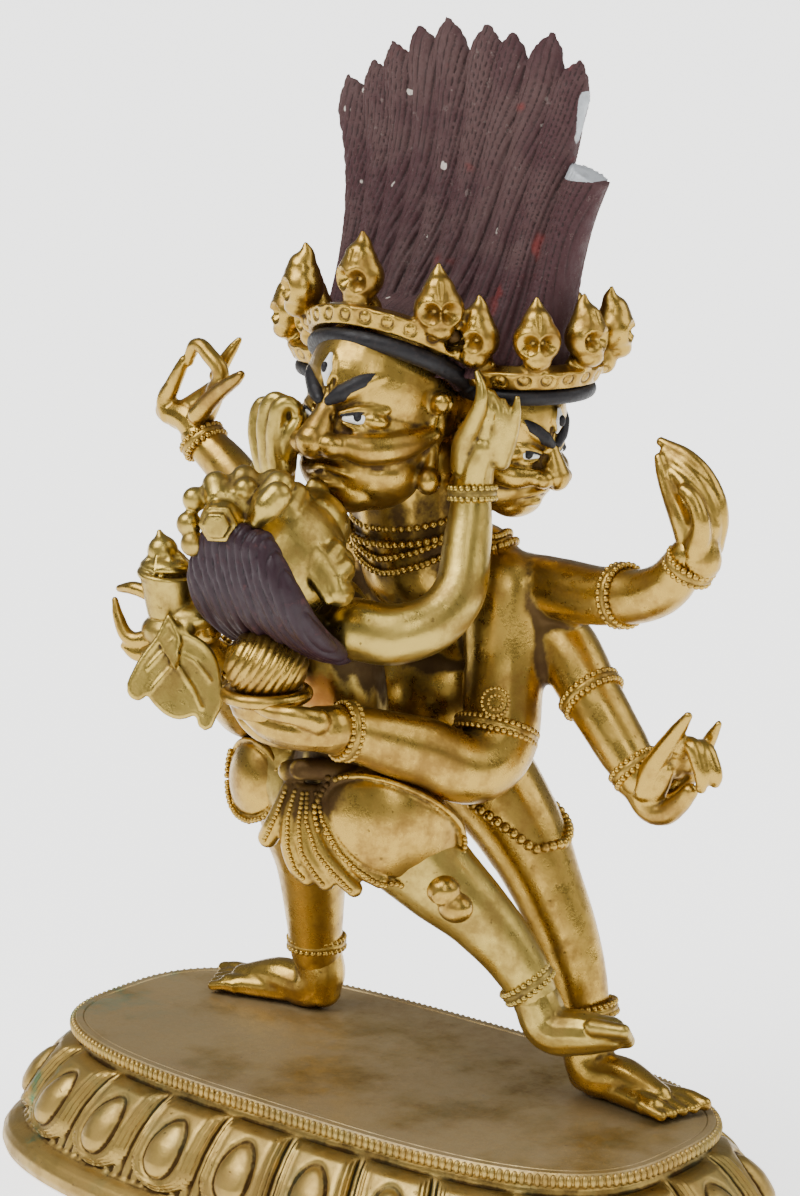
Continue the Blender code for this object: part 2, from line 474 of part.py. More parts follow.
def consort_clay(clay):
    middle = MIDDLE
    # Trunk, arched back away from the deity's chest
    ball(clay, (middle, -14.5, 43.5), (10.5, 8.0, 8.0))
    limb(clay, [(middle, -14.5, 46.0, 8.2), (middle, -15.0, 54.0, 6.6), (middle, -16.5, 63.0, 6.8),
                (middle, -19.0, 71.0, 6.6)])
    limb(clay, [(middle - 6.5, -20.5, 71.0, 4.2), (middle + 6.5, -20.5, 71.0, 4.2)])
    limb(clay, [(middle, -20.5, 73.0, 3.8), (middle, -23.5, 79.0, 3.8)])
    # Head thrown back, with the crown round the brow and the hair hanging behind
    turn = Matrix.Rotation(math.radians(128), 4, "X")
    ball(clay, (middle, -27.0, 81.0), (8.0, 8.6, 9.2), turn)
    ball(clay, (middle, -22.0, 84.6), (6.0, 5.4, 5.0), turn)
    ball(clay, (middle, -20.2, 89.0), (1.5, 2.2, 1.6), turn)
    tilt = (0, -0.78, -0.63)
    hoop(clay, (middle, -27.2, 82.4), tilt, 9.4, 1.3, segments=28)
    for index in range(12):
        angle = index * math.tau / 12
        spoke = turned_to(tilt) @ Vector((math.cos(angle) * 9.6, math.sin(angle) * 9.6, 0))
        point = (middle + spoke.x, -28.4 + spoke.y, 81.6 + spoke.z)
        ball(clay, point, (1.7, 1.7, 1.7), segments=10)
    ball(clay, (middle, -38.0, 84.0), (3.2, 3.2, 3.2), segments=12)
    for index in range(5):
        offset = (index - 2) * 3.0
        limb(clay, [
            (middle + offset * 0.55, -35.0, 83.0, 3.0), (middle + offset * 0.95, -34.0, 77.0, 3.2),
            (middle + offset * 1.0, -29.0, 71.0, 2.8), (middle + offset * 0.75, -24.0, 65.0, 1.6),
        ])
    # Arms round the deity's neck
    limb(clay, [(13.0, -21.0, 71.0, 4.4), (18.6, -18.0, 70.6, 4.2), (22.5, -12.0, 74.0, 3.8),
                (21.3, -7.0, 82.5, 3.4), (20.4, -5.0, 89.0, 2.7)])
    bracelet(clay, (20.6, -5.2, 88.4), (-0.1, 0.1, 1), 3.1)
    hand(clay, NEAR_HAND)
    limb(clay, [(-1.6, -21.0, 71.0, 4.2), (-6.6, -20.0, 74.0, 3.8), (-7.6, -18.5, 82.0, 3.4),
                (-5.0, -18.6, 90.0, 2.7)])
    bracelet(clay, (-5.4, -18.5, 88.6), (0.2, 0, 1), 3.1)
    hand(clay, FAR_HAND)
    # Right leg along the deity's stretched leg, left leg wrapped round his hip
    limb(clay, [(12.0, -13.0, 41.5, 8.0), (17.5, -9.5, 34.5, 6.3), (23.0, -5.5, 28.0, 4.9),
                (27.5, -2.4, 21.0, 4.0), (29.6, -1.5, 16.5, 3.3)])
    bracelet(clay, (28.4, -2.0, 18.8), (0.5, 0.3, -0.8), 3.9)
    limb(clay, [(29.6, -1.5, 16.5, 3.3), (31.8, -0.8, 12.4, 3.0), (37.5, 0.6, 13.2, 2.6),
                (41.5, 2.0, 14.4, 1.9)])
    for toe in range(5):
        start = (40.8 - toe * 0.5, 0.4 + toe * 1.2, 14.8 - toe * 0.5, 1.1)
        stop = (45.4 - toe * 0.7, 1.4 + toe * 1.2, 16.0 - toe * 0.5, 0.8)
        limb(clay, [start, stop], steps=1, segments=8)
    limb(clay, [(0.0, -13.0, 43.0, 7.8), (-8.0, -11.5, 47.5, 6.4), (-13.0, -5.0, 49.0, 5.2)])
    limb(clay, [(-13.0, -5.0, 49.0, 5.2), (-13.0, 4.0, 49.0, 4.0), (-10.4, 12.0, 48.0, 3.0),
                (-6.0, 15.8, 47.0, 2.6), (-1.0, 17.0, 46.0, 1.7)])
    # Hip cloth: a hooded leaf over each buttock with a beaded hem, and the hanging sash between them
    for centre, bearing in (((17.4, -17.2, 42.4), 40.2), ((-6.6, -18.4, 42.6), 136.0)):
        turn = Matrix.Rotation(math.radians(bearing), 4, "Z")
        ball(clay, centre, (9.8, 3.4, 6.3), turn)
        across = turn @ Vector((10.0, 0, 0))
        hem = []
        for angle in range(200, 341, 20):
            along = math.cos(math.radians(angle))
            drop = 6.4 * math.sin(math.radians(angle))
            hem.append((centre[0] + across.x * along, centre[1] + across.y * along - 1.0, centre[2] + drop, 0.9))
        limb(clay, hem, steps=1, segments=8)
    for index in range(5):
        limb(clay, [
            (4.6 + index * 0.5, -23.4, 48.2, 1.3), (5.2 + index * 1.5, -24.6, 41.5, 1.4),
            (6.8 + index * 1.9, -23.0, 34.8, 1.2),
        ])
    for height, radius in ((35.0, 2.2), (32.4, 3.0)):
        ball(clay, (22.4, -12.0, height), (radius, radius, 1.5), segments=12)


# From clay to casting

def finish_casting(name, clay, faces, material, collection):
    """Fuses a casting's lumps into one skin, smooths it and thins it to about the given number of triangles."""
    heap = bmesh.new()
    for lump in clay:
        heap.from_mesh(lump.data)
        bpy.data.objects.remove(lump)
    mesh = bpy.data.meshes.new(name)
    heap.to_mesh(mesh)
    heap.free()
    casting = bpy.data.objects.new(name, mesh)
    casting.data.materials.append(material)
    collection.objects.link(casting)
    fuse = casting.modifiers.new("Fuse", "REMESH")
    fuse.mode = "VOXEL"
    fuse.voxel_size = CLAY * UNIT
    soften = casting.modifiers.new("Soften", "SMOOTH")
    soften.factor = 0.5
    soften.iterations = 2
    bake(casting)
    full = casting.data
    while True:
        thin = casting.modifiers.new("Thin", "DECIMATE")
        thin.ratio = min(1.0, faces / (2 * len(full.polygons)))
        thin.use_collapse_triangulate = True
        bake(casting)
        keep_largest(casting)
        if is_closed(casting.data):
            return casting
        faces -= THINNING_STEP
        casting.data = full


def is_closed(mesh):
    """Says whether every edge joins exactly two faces."""
    body = bmesh.new()
    body.from_mesh(mesh)
    closed = all(edge.is_manifold for edge in body.edges)
    body.free()
    return closed


def bake(thing):
    """Replaces an object's mesh by its evaluated one and drops its modifiers."""
    graph = bpy.context.evaluated_depsgraph_get()
    baked = bpy.data.meshes.new_from_object(thing.evaluated_get(graph))
    thing.modifiers.clear()
    thing.data = baked


def keep_largest(thing):
    """Drops crumbs that a cut or the thinning left loose."""
    body = bmesh.new()
    body.from_mesh(thing.data)
    body.faces.ensure_lookup_table()
    unseen = set(body.faces)
    shells = []
    while unseen:
        shell = {unseen.pop()}
        edge = list(shell)
        while edge:
            face = edge.pop()
            for side in face.edges:
                for other in side.link_faces:
                    if other in unseen:
                        unseen.discard(other)
                        shell.add(other)
                        edge.append(other)
        shells.append(shell)
    shells.sort(key=len)
    crumbs = [face for shell in shells[:-1] for face in shell]
    bmesh.ops.delete(body, geom=crumbs, context="FACES")
    body.to_mesh(thing.data)
    body.free()


def clear_of(casting, neighbour, helpers):
    """Cuts a casting back so that it keeps a gap to its neighbour."""
    cutter = bpy.data.objects.new(neighbour.name + "_clearance", neighbour.data.copy())
    helpers.objects.link(cutter)
    cutter.hide_render = True
    cutter.display_type = "WIRE"
    swell = cutter.modifiers.new("Swell", "DISPLACE")
    swell.mid_level = 0.0
    swell.strength = 1.6 * GAP
    fit = casting.modifiers.new("Clearance", "BOOLEAN")
    fit.operation = "DIFFERENCE"
    fit.solver = "EXACT"
    fit.use_self = True
    fit.object = cutter
    bpy.context.view_layer.update()
    bake(casting)
    keep_largest(casting)


# The lotus base

def oval(angle, half_length, half_width):
    """A point of the base's squared oval."""
    across = math.cos(angle)
    along = math.sin(angle)
    x = math.copysign(abs(across) ** (2 / OVAL_POWER), across) * half_length
    y = math.copysign(abs(along) ** (2 / OVAL_POWER), along) * half_width
    return x, y


def even_angles(count, shift):
    """Angles that part the oval's middle outline into stretches of equal length, from the middle of the front."""
    fine = 7200
    reach = FOOT_FLARE / 2
    turns = [(index / fine - 0.25) * math.tau for index in range(fine + 1)]
    points = [oval(turn, PLATE_HALF_LENGTH + reach, PLATE_HALF_WIDTH + reach) for turn in turns]
    walked = [0.0]
    for start, stop in zip(points, points[1:]):
        walked.append(walked[-1] + math.dist(start, stop))
    angles = []
    for column in range(count):
        target = walked[-1] * ((column + shift) / count % 1.0)
        index = bisect.bisect_right(walked, target) - 1
        part = (target - walked[index]) / (walked[index + 1] - walked[index])
        angles.append(turns[index] + part * math.tau / fine)
    return angles


def lotus_base(material, collection):
    """One row of broad petals that turn down from the recess under the beaded rim to a plain foot."""
    per_petal = 4
    rim_foot = BASE_HEIGHT - RIM_HEIGHT
    rings = [
        # share of the rim foot's height, how far it stands out from the plate's edge, how strongly petals swell
        (0.0, FOOT_FLARE - 0.0010, 0.0), (0.07, FOOT_FLARE, 0.0), (0.15, FOOT_FLARE - 0.0003, 0.0),
        (0.23, FOOT_FLARE - 0.0019, 0.0), (0.29, FOOT_FLARE - 0.0036, 0.9), (0.49, FOOT_FLARE - 0.0051, 1.0),
        (0.76, FOOT_FLARE - 0.0085, 0.7), (0.92, -NECK_DEPTH, 0.0), (1.0, -NECK_DEPTH, 0.0), (1.0, 0.0, 0.0),
        (BASE_HEIGHT / rim_foot, 0.0, 0.0),
    ]
    columns = PETALS * per_petal
    body = bmesh.new()
    made = bmesh.ops.create_cone(
        body, cap_ends=True, segments=columns, radius1=1.0, radius2=1.0, depth=1.0,
    )
    start = math.atan2(made["verts"][0].co.y, made["verts"][0].co.x)
    edges = [edge for edge in body.edges if abs(edge.verts[0].co.z - edge.verts[1].co.z) > 0.5]
    bmesh.ops.subdivide_edges(body, edges=edges, cuts=len(rings) - 2, use_grid_fill=True)
    angles = even_angles(columns, PETAL_SHIFT * per_petal)
    for vert in body.verts:
        row = round((vert.co.z + 0.5) * (len(rings) - 1))
        height, stand, swell = rings[row]
        column = round((math.atan2(vert.co.y, vert.co.x) - start) / math.tau * columns) % columns
        phase = abs(math.sin(math.pi * column / per_petal))
        bulge = PETAL_SWELL * swell * (phase ** 0.6 - 0.35)
        x, y = oval(angles[column], PLATE_HALF_LENGTH + stand + bulge, PLATE_HALF_WIDTH + stand + bulge)
        vert.co = (x, y, height * rim_foot)
    mesh = bpy.data.meshes.new("lotus_base")
    body.to_mesh(mesh)
    body.free()
    base = bpy.data.objects.new("lotus_base", mesh)
    base.data.materials.append(material)
    collection.objects.link(base)
    return base


# The assembly

clear_scene()
statue = make_collection("hayagriva_statue")
helpers = make_collection("clearance_cutters")
gilt = metal("gilt_bronze", (0.66, 0.42, 0.13), 0.32)
pale_gilt = metal("pale_gilt", (0.62, 0.47, 0.18), 0.36)
dull_gilt = metal("worn_gilt", (0.50, 0.34, 0.13), 0.42)

lotus_base(dull_gilt, statue)

deity_lumps = []
deity_clay(deity_lumps)
deity = finish_casting("deity", deity_lumps, DEITY_FACES, gilt, statue)

consort_lumps = []
consort_clay(consort_lumps)
consort = finish_casting("consort", consort_lumps, CONSORT_FACES, pale_gilt, statue)

clear_of(deity, consort, helpers)
for thing in statue.objects:
    thing.data.shade_smooth()
    thing.data.set_sharp_from_angle(angle=math.radians(50))
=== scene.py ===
"""A gilt copper alloy group of Hayagriva embracing his consort, on an oval lotus base."""

import math

import bpy
import numpy as np
from mathutils import Matrix, Vector


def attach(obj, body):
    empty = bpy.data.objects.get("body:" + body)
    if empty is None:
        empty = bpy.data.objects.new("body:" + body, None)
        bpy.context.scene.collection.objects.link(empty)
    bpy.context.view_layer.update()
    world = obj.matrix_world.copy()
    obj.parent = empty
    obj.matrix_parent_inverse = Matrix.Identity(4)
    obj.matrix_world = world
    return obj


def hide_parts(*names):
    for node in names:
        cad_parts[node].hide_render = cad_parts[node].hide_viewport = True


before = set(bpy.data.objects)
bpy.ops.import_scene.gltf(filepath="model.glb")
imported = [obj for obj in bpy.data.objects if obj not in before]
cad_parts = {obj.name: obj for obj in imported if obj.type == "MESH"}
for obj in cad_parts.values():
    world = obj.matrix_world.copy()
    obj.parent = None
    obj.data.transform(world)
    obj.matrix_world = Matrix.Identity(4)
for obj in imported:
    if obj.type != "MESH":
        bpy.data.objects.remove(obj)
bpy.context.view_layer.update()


# The lotus base. One casting: a flat plate inside a beaded rim, a recess below the rim, and a row of
# broad petals turned down over a rounded foot. Its gilding is thin, brown in the recess, with some verdigris.

MM = 0.001
PLATE = 20.3


class Value:
    """A shader socket that takes part in sums."""

    def __init__(self, nodes, socket):
        self.nodes = nodes
        self.socket = socket

    def join(self, operation, other, swap=False):
        values = [other, self] if swap else [self, other]
        return self.nodes.add("ShaderNodeMath", values, operation=operation)

    def __add__(self, other):
        return self.join("ADD", other)

    def __sub__(self, other):
        return self.join("SUBTRACT", other)

    def __rsub__(self, other):
        return self.join("SUBTRACT", other, swap=True)

    def __mul__(self, other):
        return self.join("MULTIPLY", other)

    __radd__ = __add__
    __rmul__ = __mul__

    def band(self, low, high, out_low=0, out_high=1):
        """Rises smoothly from out_low to out_high while this value goes from low to high."""
        return self.nodes.add(
            "ShaderNodeMapRange", [self, low, high, out_low, out_high], interpolation_type="SMOOTHSTEP",
        )


class Finish:
    """A material whose nodes are added one call at a time."""

    def __init__(self, name):
        self.material = bpy.data.materials.new(name)
        self.material.use_nodes = True
        self.tree = self.material.node_tree
        self.shader = self.tree.nodes["Principled BSDF"]

    def put(self, socket, value):
        if isinstance(value, Value):
            self.tree.links.new(value.socket, socket)
        elif isinstance(value, tuple) and socket.type == "RGBA":
            socket.default_value = (*value, 1)
        else:
            socket.default_value = value

    def add(self, kind, values=(), output=0, **settings):
        node = self.tree.nodes.new(kind)
        for name, setting in settings.items():
            setattr(node, name, setting)
        entries = values.items() if isinstance(values, dict) else enumerate(values)
        for key, value in entries:
            self.put(node.inputs[key], value)
        return Value(self, node.outputs[output])

    def place(self):
        return self.add("ShaderNodeTexCoord", output="Object")

    def away_from(self, spot):
        """Distance in metres from a point of the frame."""
        return self.add("ShaderNodeVectorMath", [self.place(), spot], output=1, operation="DISTANCE")

    def attribute(self, name):
        return self.add("ShaderNodeAttribute", output="Fac", attribute_name=name)

    def noise(self, scale, detail=4, rough=0.55, where=None):
        values = {"Vector": where or self.place(), "Scale": scale, "Detail": detail, "Roughness": rough}
        return self.add("ShaderNodeTexNoise", values)

    def mix(self, share, first, second):
        return self.add("ShaderNodeMix", {0: share, 6: first, 7: second}, output=2, data_type="RGBA")

    def colour_so_far(self):
        """What feeds the base colour now, so that another tone can be laid over it."""
        return Value(self, self.shader.inputs["Base Color"].links[0].from_socket)

    def bump(self, height, strength, distance):
        values = {"Strength": strength, "Distance": distance, "Height": height}
        return self.add("ShaderNodeBump", values)

    def set(self, **sockets):
        for name, value in sockets.items():
            self.put(self.shader.inputs[name.replace("_", " ")], value)
        return self


# Where painted shade darkens the gilding, in metres: between the figures, under the chins and round her belt
SHADE_SPOTS = [
    ((0.006, -0.008, 0.084), 0.013), ((0.006, -0.002, 0.103), 0.013), ((0.006, -0.023, 0.071), 0.010),
    ((-0.006, -0.020, 0.079), 0.009), ((0.010, -0.016, 0.089), 0.011), ((0.006, 0.000, 0.126), 0.012),
]


def aged_gilt(name, bright, worn, recess, roughness=0.27, wear=0.5, grime=1):
    """Fire-gilt metal: bright on the swells, brown where the gilding is thin, near black in the hollows,
    painted shade in deep spots.
    """
    finish = Finish(name)
    hollow = finish.attribute("hollow")
    cloud = finish.noise(85, 5, 0.6)
    patch = finish.noise(330, 6, 0.7)
    grain = finish.noise(2600, 3, 0.6)
    thin = (cloud * 0.6 + patch * 0.5).band(0.58 - 0.16 * wear, 0.70)
    colour = finish.mix(thin * 0.75, bright, worn)
    # Painted shade: the colour darkens round the deep spots between the figures, under the chins and round
    # her belt
    painted_shade = 0
    for spot, reach in SHADE_SPOTS:
        painted_shade = finish.away_from(spot).band(reach, reach * 0.45) + painted_shade
    # Patina in the hollows, a random tone and that painted shade, together pulling the colour towards the
    # recess tone
    patina_and_shade = (hollow * grime + (patch - 0.5) * 0.22 + painted_shade * (cloud - 0.16) * 0.6).band(0.01, 0.15)
    colour = finish.mix(patina_and_shade * 0.92, colour, recess)
    pits = finish.noise(900, 2, 0.5).band(0.70, 0.76)
    colour = finish.mix(pits * 0.55, colour, recess)
    finish.set(
        Base_Color=colour, Metallic=1 - patina_and_shade * 0.55 - pits * 0.25, Specular_IOR_Level=0.15,
        Roughness=patch.band(0.3, 0.7, roughness - 0.05, roughness + 0.10) + patina_and_shade * 0.25 + thin * 0.08,
        Normal=finish.bump(grain * 0.5 + patch * 0.9 + pits * -0.6, 0.22, 0.00022),
    )
    return finish


def here(point):
    """A point in figure millimetres above the plate, as metres in the frame."""
    return Vector((point[0] * MM, point[1] * MM, (point[2] + PLATE) * MM))


def pick(things):
    bpy.ops.object.select_all(action="DESELECT")
    for thing in things:
        thing.select_set(True)
    bpy.context.view_layer.objects.active = things[0]


def merge(name, things):
    """Joins objects into one, with its place in its mesh."""
    pick(things)
    if len(things) > 1:
        bpy.ops.object.join()
    piece = bpy.context.view_layer.objects.active
    bpy.ops.object.transform_apply(location=True, rotation=True, scale=True)
    piece.name = piece.data.name = name
    return piece


def apply(piece, kind, **settings):
    """Adds a modifier and applies it."""
    pick([piece])
    modifier = piece.modifiers.new(kind.title(), kind)
    for name, value in settings.items():
        setattr(modifier, name, value)
    bpy.ops.object.modifier_apply(modifier=modifier.name)


def points_of(piece):
    co = np.empty(len(piece.data.vertices) * 3, np.float32)
    piece.data.vertices.foreach_get("co", co)
    return co.reshape(-1, 3).astype(float)


def move_points(piece, co):
    piece.data.vertices.foreach_set("co", co.astype(np.float32).ravel())
    piece.data.update()


def normals_of(piece):
    flat = np.empty(len(piece.data.vertices) * 3, np.float32)
    piece.data.vertices.foreach_get("normal", flat)
    return flat.reshape(-1, 3).astype(float)


def note(piece, name, values):
    """Stores a value for each vertex, which the finish reads."""
    attribute = piece.data.attributes.get(name) or piece.data.attributes.new(name, "FLOAT", "POINT")
    attribute.data.foreach_set("value", values.astype(np.float32))


def mark_hollows(piece, reach=14):
    """Notes, in millimetres, how far each point lies below its surroundings."""
    co = points_of(piece)
    ends = np.empty(len(piece.data.edges) * 2, np.int32)
    piece.data.edges.foreach_get("vertices", ends)
    first, second = ends.reshape(-1, 2).T
    count = np.bincount(ends, minlength=len(co))[:, None].clip(1)
    even = co.copy()
    for _ in range(reach):
        total = np.stack([
            np.bincount(first, even[second, k], len(co)) + np.bincount(second, even[first, k], len(co))
            for k in range(3)
        ], axis=1)
        even = 0.5 * even + 0.5 * total / count
    note(piece, "hollow", ((even - co) * normals_of(piece)).sum(1) / MM)


def place_on(piece, finish, slot, *nodes):
    """Gives a finished piece its material and its body, and hides the named CAD parts; slot is not used."""
    piece.data.materials.clear()
    piece.data.materials.append(finish.material)
    pick([piece])
    bpy.ops.object.shade_smooth()
    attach(piece, "root")
    if nodes:
        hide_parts(*nodes)


HALF_LENGTH = 54
HALF_WIDTH = 24.1
FLARE = 10
OVAL_POWER = 3.1
PETALS = 22
PETAL_PHASE = 0.30


def outline(angle, stand):
    """A point of the base's squared oval, standing out from the plate's edge, in millimetres."""
    across, along = np.cos(angle), np.sin(angle)
    x = np.sign(across) * np.abs(across) ** (2 / OVAL_POWER) * (HALF_LENGTH + stand)
    y = np.sign(along) * np.abs(along) ** (2 / OVAL_POWER) * (HALF_WIDTH + stand)
    return x, y


def even_turns(count, stand, phase=0):
    """Angles that part the oval into stretches of equal length, from the middle of the front."""
    fine = np.linspace(-math.pi / 2, 1.5 * math.pi, 20001)
    x, y = outline(fine, stand)
    walked = np.concatenate([[0], np.cumsum(np.hypot(np.diff(x), np.diff(y)))])
    return np.interp((np.arange(count) + phase) / count % 1 * walked[-1], walked, fine)


def petal_relief(across, down):
    """How far a petal stands out, in millimetres, -1 to 1 across its width and 0 to 1 down from its top."""
    half, straight = 0.92, 0.62
    side = np.abs(across)
    round_end = half - np.hypot(side, (down - straight) / 0.36 * half)
    inside = np.where(down < straight, half - side, round_end) * 6.6
    swell = 1.5 * np.clip(inside / 2.4, 0, 1) ** 0.8
    lines = sum(0.42 * np.exp(-((inside - at) / 0.22) ** 2) for at in (0.35, 1.05, 1.7))
    boss = np.hypot(across / 0.42, (down - 0.50) / 0.30)
    bump = 1.1 * np.clip(1 - boss ** 2, 0, 1) ** 0.7 - 0.4 * np.exp(-((boss - 1.08) / 0.12) ** 2)
    between = np.where(inside < 0, 1, 0)
    inner = between * 0.55 * np.cos(np.clip((1 - side) * 22, 0, math.pi * 5))
    inner *= np.clip(1 - (down - 0.1) * 0.4, 0, 1)
    return swell + lines * (inside > -0.4) + bump * (inside > 0) + inner * 0.6


def make_base():
    """The casting from one cylinder: its rows follow the profile, its columns the oval."""
    per_petal = 40
    rows = 100
    petal_foot, petal_top = 0.215, 0.84
    columns = PETALS * per_petal
    bpy.ops.object.select_all(action="DESELECT")
    bpy.ops.mesh.primitive_cylinder_add(vertices=columns, radius=1, depth=1, end_fill_type="NGON")
    base = bpy.context.object
    co = points_of(base)
    start = math.atan2(co[0, 1], co[0, 0])
    bpy.ops.object.mode_set(mode="EDIT")
    bpy.ops.mesh.select_mode(type="EDGE")
    bpy.ops.mesh.select_all(action="DESELECT")
    bpy.ops.object.mode_set(mode="OBJECT")
    for edge in base.data.edges:
        ends = [base.data.vertices[index].co.z for index in edge.vertices]
        edge.select = abs(ends[0] - ends[1]) > 0.5
    bpy.ops.object.mode_set(mode="EDIT")
    bpy.ops.mesh.subdivide(number_cuts=rows - 1)
    bpy.ops.object.mode_set(mode="OBJECT")
    co = points_of(base)
    share = co[:, 2] + 0.5
    column = np.round((np.arctan2(co[:, 1], co[:, 0]) - start) / math.tau * columns).astype(int) % columns
    turns = even_turns(columns, FLARE / 2, PETAL_PHASE * per_petal)
    angle = turns[column]
    # From the foot's underside up to the plate's edge: share of the rows, height, and how far it stands out
    profile = np.array([
        (0.00, 0, 9), (0.03, 0.25, 9.7), (0.07, 1.3, 10), (0.11, 2.6, 9.8), (0.15, 3.6, 9.1),
        (0.18, 4.2, 8.1), (0.21, 4.6, 7), (0.24, 5.2, 6.4), (0.32, 6.6, 5.9), (0.45, 8.9, 4.9),
        (0.58, 11.4, 3.4), (0.70, 13.8, 1.5), (0.80, 15.6, -0.4), (0.85, 16.5, -1.3), (0.88, 17.1, -1.6),
        (0.92, 17.9, -1.5), (0.94, 18.1, -0.3), (0.96, 18.6, 0), (0.98, 19.3, -0.1), (1.00, 20, -0.7),
    ])
    height = np.interp(share, profile[:, 0], profile[:, 1])
    stand = np.interp(share, profile[:, 0], profile[:, 2])
    down = np.clip((petal_top - share) / (petal_top - petal_foot), 0, 1)
    on_petals = ((share > petal_foot) & (share < petal_top)).astype(float)
    across = ((column + 0.5) % per_petal) / per_petal * 2 - 1
    fade = np.clip(down / 0.10, 0, 1) ** 0.7 * np.clip((share - petal_foot) / 0.02, 0, 1)
    relief = petal_relief(across, down) * on_petals * fade
    x, y = outline(angle, stand + relief * 0.94)
    height = height + relief * on_petals * 0.35 * (1 - down)
    move_points(base, np.stack([x, y, height], 1) * MM)
    bpy.ops.object.mode_set(mode="EDIT")
    bpy.ops.mesh.select_all(action="DESELECT")
    bpy.ops.mesh.select_mode(type="FACE")
    bpy.ops.object.mode_set(mode="OBJECT")
    for face in base.data.polygons:
        face.select = len(face.vertices) > 4 and face.center.z > 0.5 * PLATE * MM
    bpy.ops.object.mode_set(mode="EDIT")
    bpy.ops.mesh.inset(thickness=0.9 * MM)
    bpy.ops.mesh.inset(thickness=0.18 * MM, depth=-0.22 * MM)
    bpy.ops.mesh.inset(thickness=0.18 * MM, depth=0.17 * MM)
    bpy.ops.object.mode_set(mode="OBJECT")
    return merge("lotus_base_casting", [base])


def rows_of(name, item, spots):
    """Copies one small item to many places, each a matrix, and joins them."""
    copies = []
    for spot in spots:
        copy = bpy.data.objects.new(name, item.data.copy())
        bpy.context.scene.collection.objects.link(copy)
        copy.matrix_world = spot
        copies.append(copy)
    bpy.data.objects.remove(item)
    return merge(name, copies)


def one_bead():
    bpy.ops.object.select_all(action="DESELECT")
    bpy.ops.mesh.primitive_ico_sphere_add(subdivisions=2, radius=1)
    return bpy.context.object


plate_gilt = aged_gilt(
    "worn_gilt", (0.38, 0.255, 0.070), (0.25, 0.16, 0.048), (0.040, 0.018, 0.006), roughness=0.38, wear=0.8,
)
green = (plate_gilt.noise(45, 5, 0.7) * 0.7 + plate_gilt.noise(300, 4, 0.7) * 0.3).band(0.50, 0.62)
low_left = plate_gilt.add("ShaderNodeSeparateXYZ", [plate_gilt.place()]).band(-0.035, -0.052)
plate_gilt.set(Base_Color=plate_gilt.mix(
    green * (0.12 + low_left * 0.75), plate_gilt.colour_so_far(), (0.03, 0.17, 0.10),
))
height = plate_gilt.add("ShaderNodeSeparateXYZ", [plate_gilt.place()], output=2)
top = height.band(0.0197, 0.0199) * 0.6 * plate_gilt.noise(60, 4, 0.6).band(0.25, 0.55)
plate_gilt.set(
    Base_Color=plate_gilt.mix(top, plate_gilt.colour_so_far(), (0.33, 0.25, 0.145)),
    Metallic=0.95 - top * 0.6,
)

base = make_base()
mark_hollows(base, 10)
place_on(base, plate_gilt, "worn_gilt", "lotus_base")
bpy.ops.object.shade_smooth_by_angle(angle=math.radians(40))

RIM_BEADS = 250
RIM_INSET = 0.25
RIM_HEIGHT = 18.95
spots = []
turns = even_turns(RIM_BEADS, 0)
for angle, after in zip(turns, np.roll(turns, -1)):
    x, y = outline(angle, -RIM_INSET)
    ahead_x, ahead_y = outline(after, -RIM_INSET)
    run = Vector((ahead_x - x, ahead_y - y, 0)).normalized()
    turn = Matrix((run, Vector((0, 0, 1)).cross(run), (0, 0, 1))).transposed().to_4x4()
    spots.append(
        Matrix.Translation(Vector((x, y, RIM_HEIGHT)) * MM) @ turn
        @ Matrix.Diagonal((0.52 * MM, 0.62 * MM, 1.02 * MM, 1))
    )
rim = rows_of("lotus_base_rim_beads", one_bead(), spots)
mark_hollows(rim, 3)
place_on(rim, plate_gilt, "worn_gilt")


# The deity's body. One casting: trunk, striding legs and six arms, smooth and fully gilt. It is shaped from
# overlapping lumps that are fused into one skin, as a modeller builds the wax for the mould.

MIDDLE = 5.7
SHOULDER = 14
lumps = []


def keep(thing):
    """Adds a lump to the piece in hand."""
    lumps.append(thing)


def ball(centre, radii, turn=None, fine=44):
    bpy.ops.mesh.primitive_uv_sphere_add(
        segments=fine, ring_count=fine // 2, radius=MM, location=here(centre),
        rotation=(turn or Matrix.Identity(4)).to_euler(), scale=radii,
    )
    keep(bpy.context.object)


def limb(points, round_ends=True, sides=5, fine=8):
    """A tapered round bar through (x, y, z, radius) points, with round ends."""
    bpy.ops.curve.primitive_bezier_curve_add()
    bar = bpy.context.object
    spline = bar.data.splines[0]
    spline.bezier_points.add(len(points) - 2)
    for knot, entry in zip(spline.bezier_points, points):
        knot.co = here(entry)
        knot.radius = entry[3]
    for knot in spline.bezier_points:
        knot.handle_left_type = knot.handle_right_type = "AUTO"
    spline.resolution_u = fine
    bar.data.resolution_u = fine
    bar.data.bevel_depth = MM
    bar.data.bevel_resolution = sides
    bar.data.use_fill_caps = True
    bpy.ops.object.convert(target="MESH")
    keep(bar)
    if round_ends:
        for entry in (points[0], points[-1]):
            ball(entry, (entry[3],) * 3, fine=16)


def fuse(name, voxel, passes, hollows=14):
    """Joins the lumps, fuses them into one skin and smooths it."""
    piece = merge(name, list(lumps))
    lumps.clear()
    apply(piece, "REMESH", mode="VOXEL", voxel_size=voxel * MM)
    apply(piece, "SMOOTH", factor=0.5, iterations=passes)
    if hollows:
        mark_hollows(piece, hollows)
    return piece


def near_route(co, route):
    """Distance in millimetres from each point to a line through (x, y, z) points."""
    best = np.full(len(co), 1e9)
    for start, stop in zip(route, route[1:]):
        a, b = np.array(here(start)), np.array(here(stop))
        run = b - a
        share = np.clip(((co - a) @ run) / (run @ run), 0, 1)
        best = np.minimum(best, np.linalg.norm(co - a - share[:, None] * run, axis=1))
    return best / MM


def scribe(piece, route, depth, width):
    """Presses a groove along a route, or raises a ridge where depth is negative."""
    co = points_of(piece)
    fall = np.exp(-(near_route(co, route) / width) ** 2)
    move_points(piece, co - normals_of(piece) * (fall * depth * MM)[:, None])


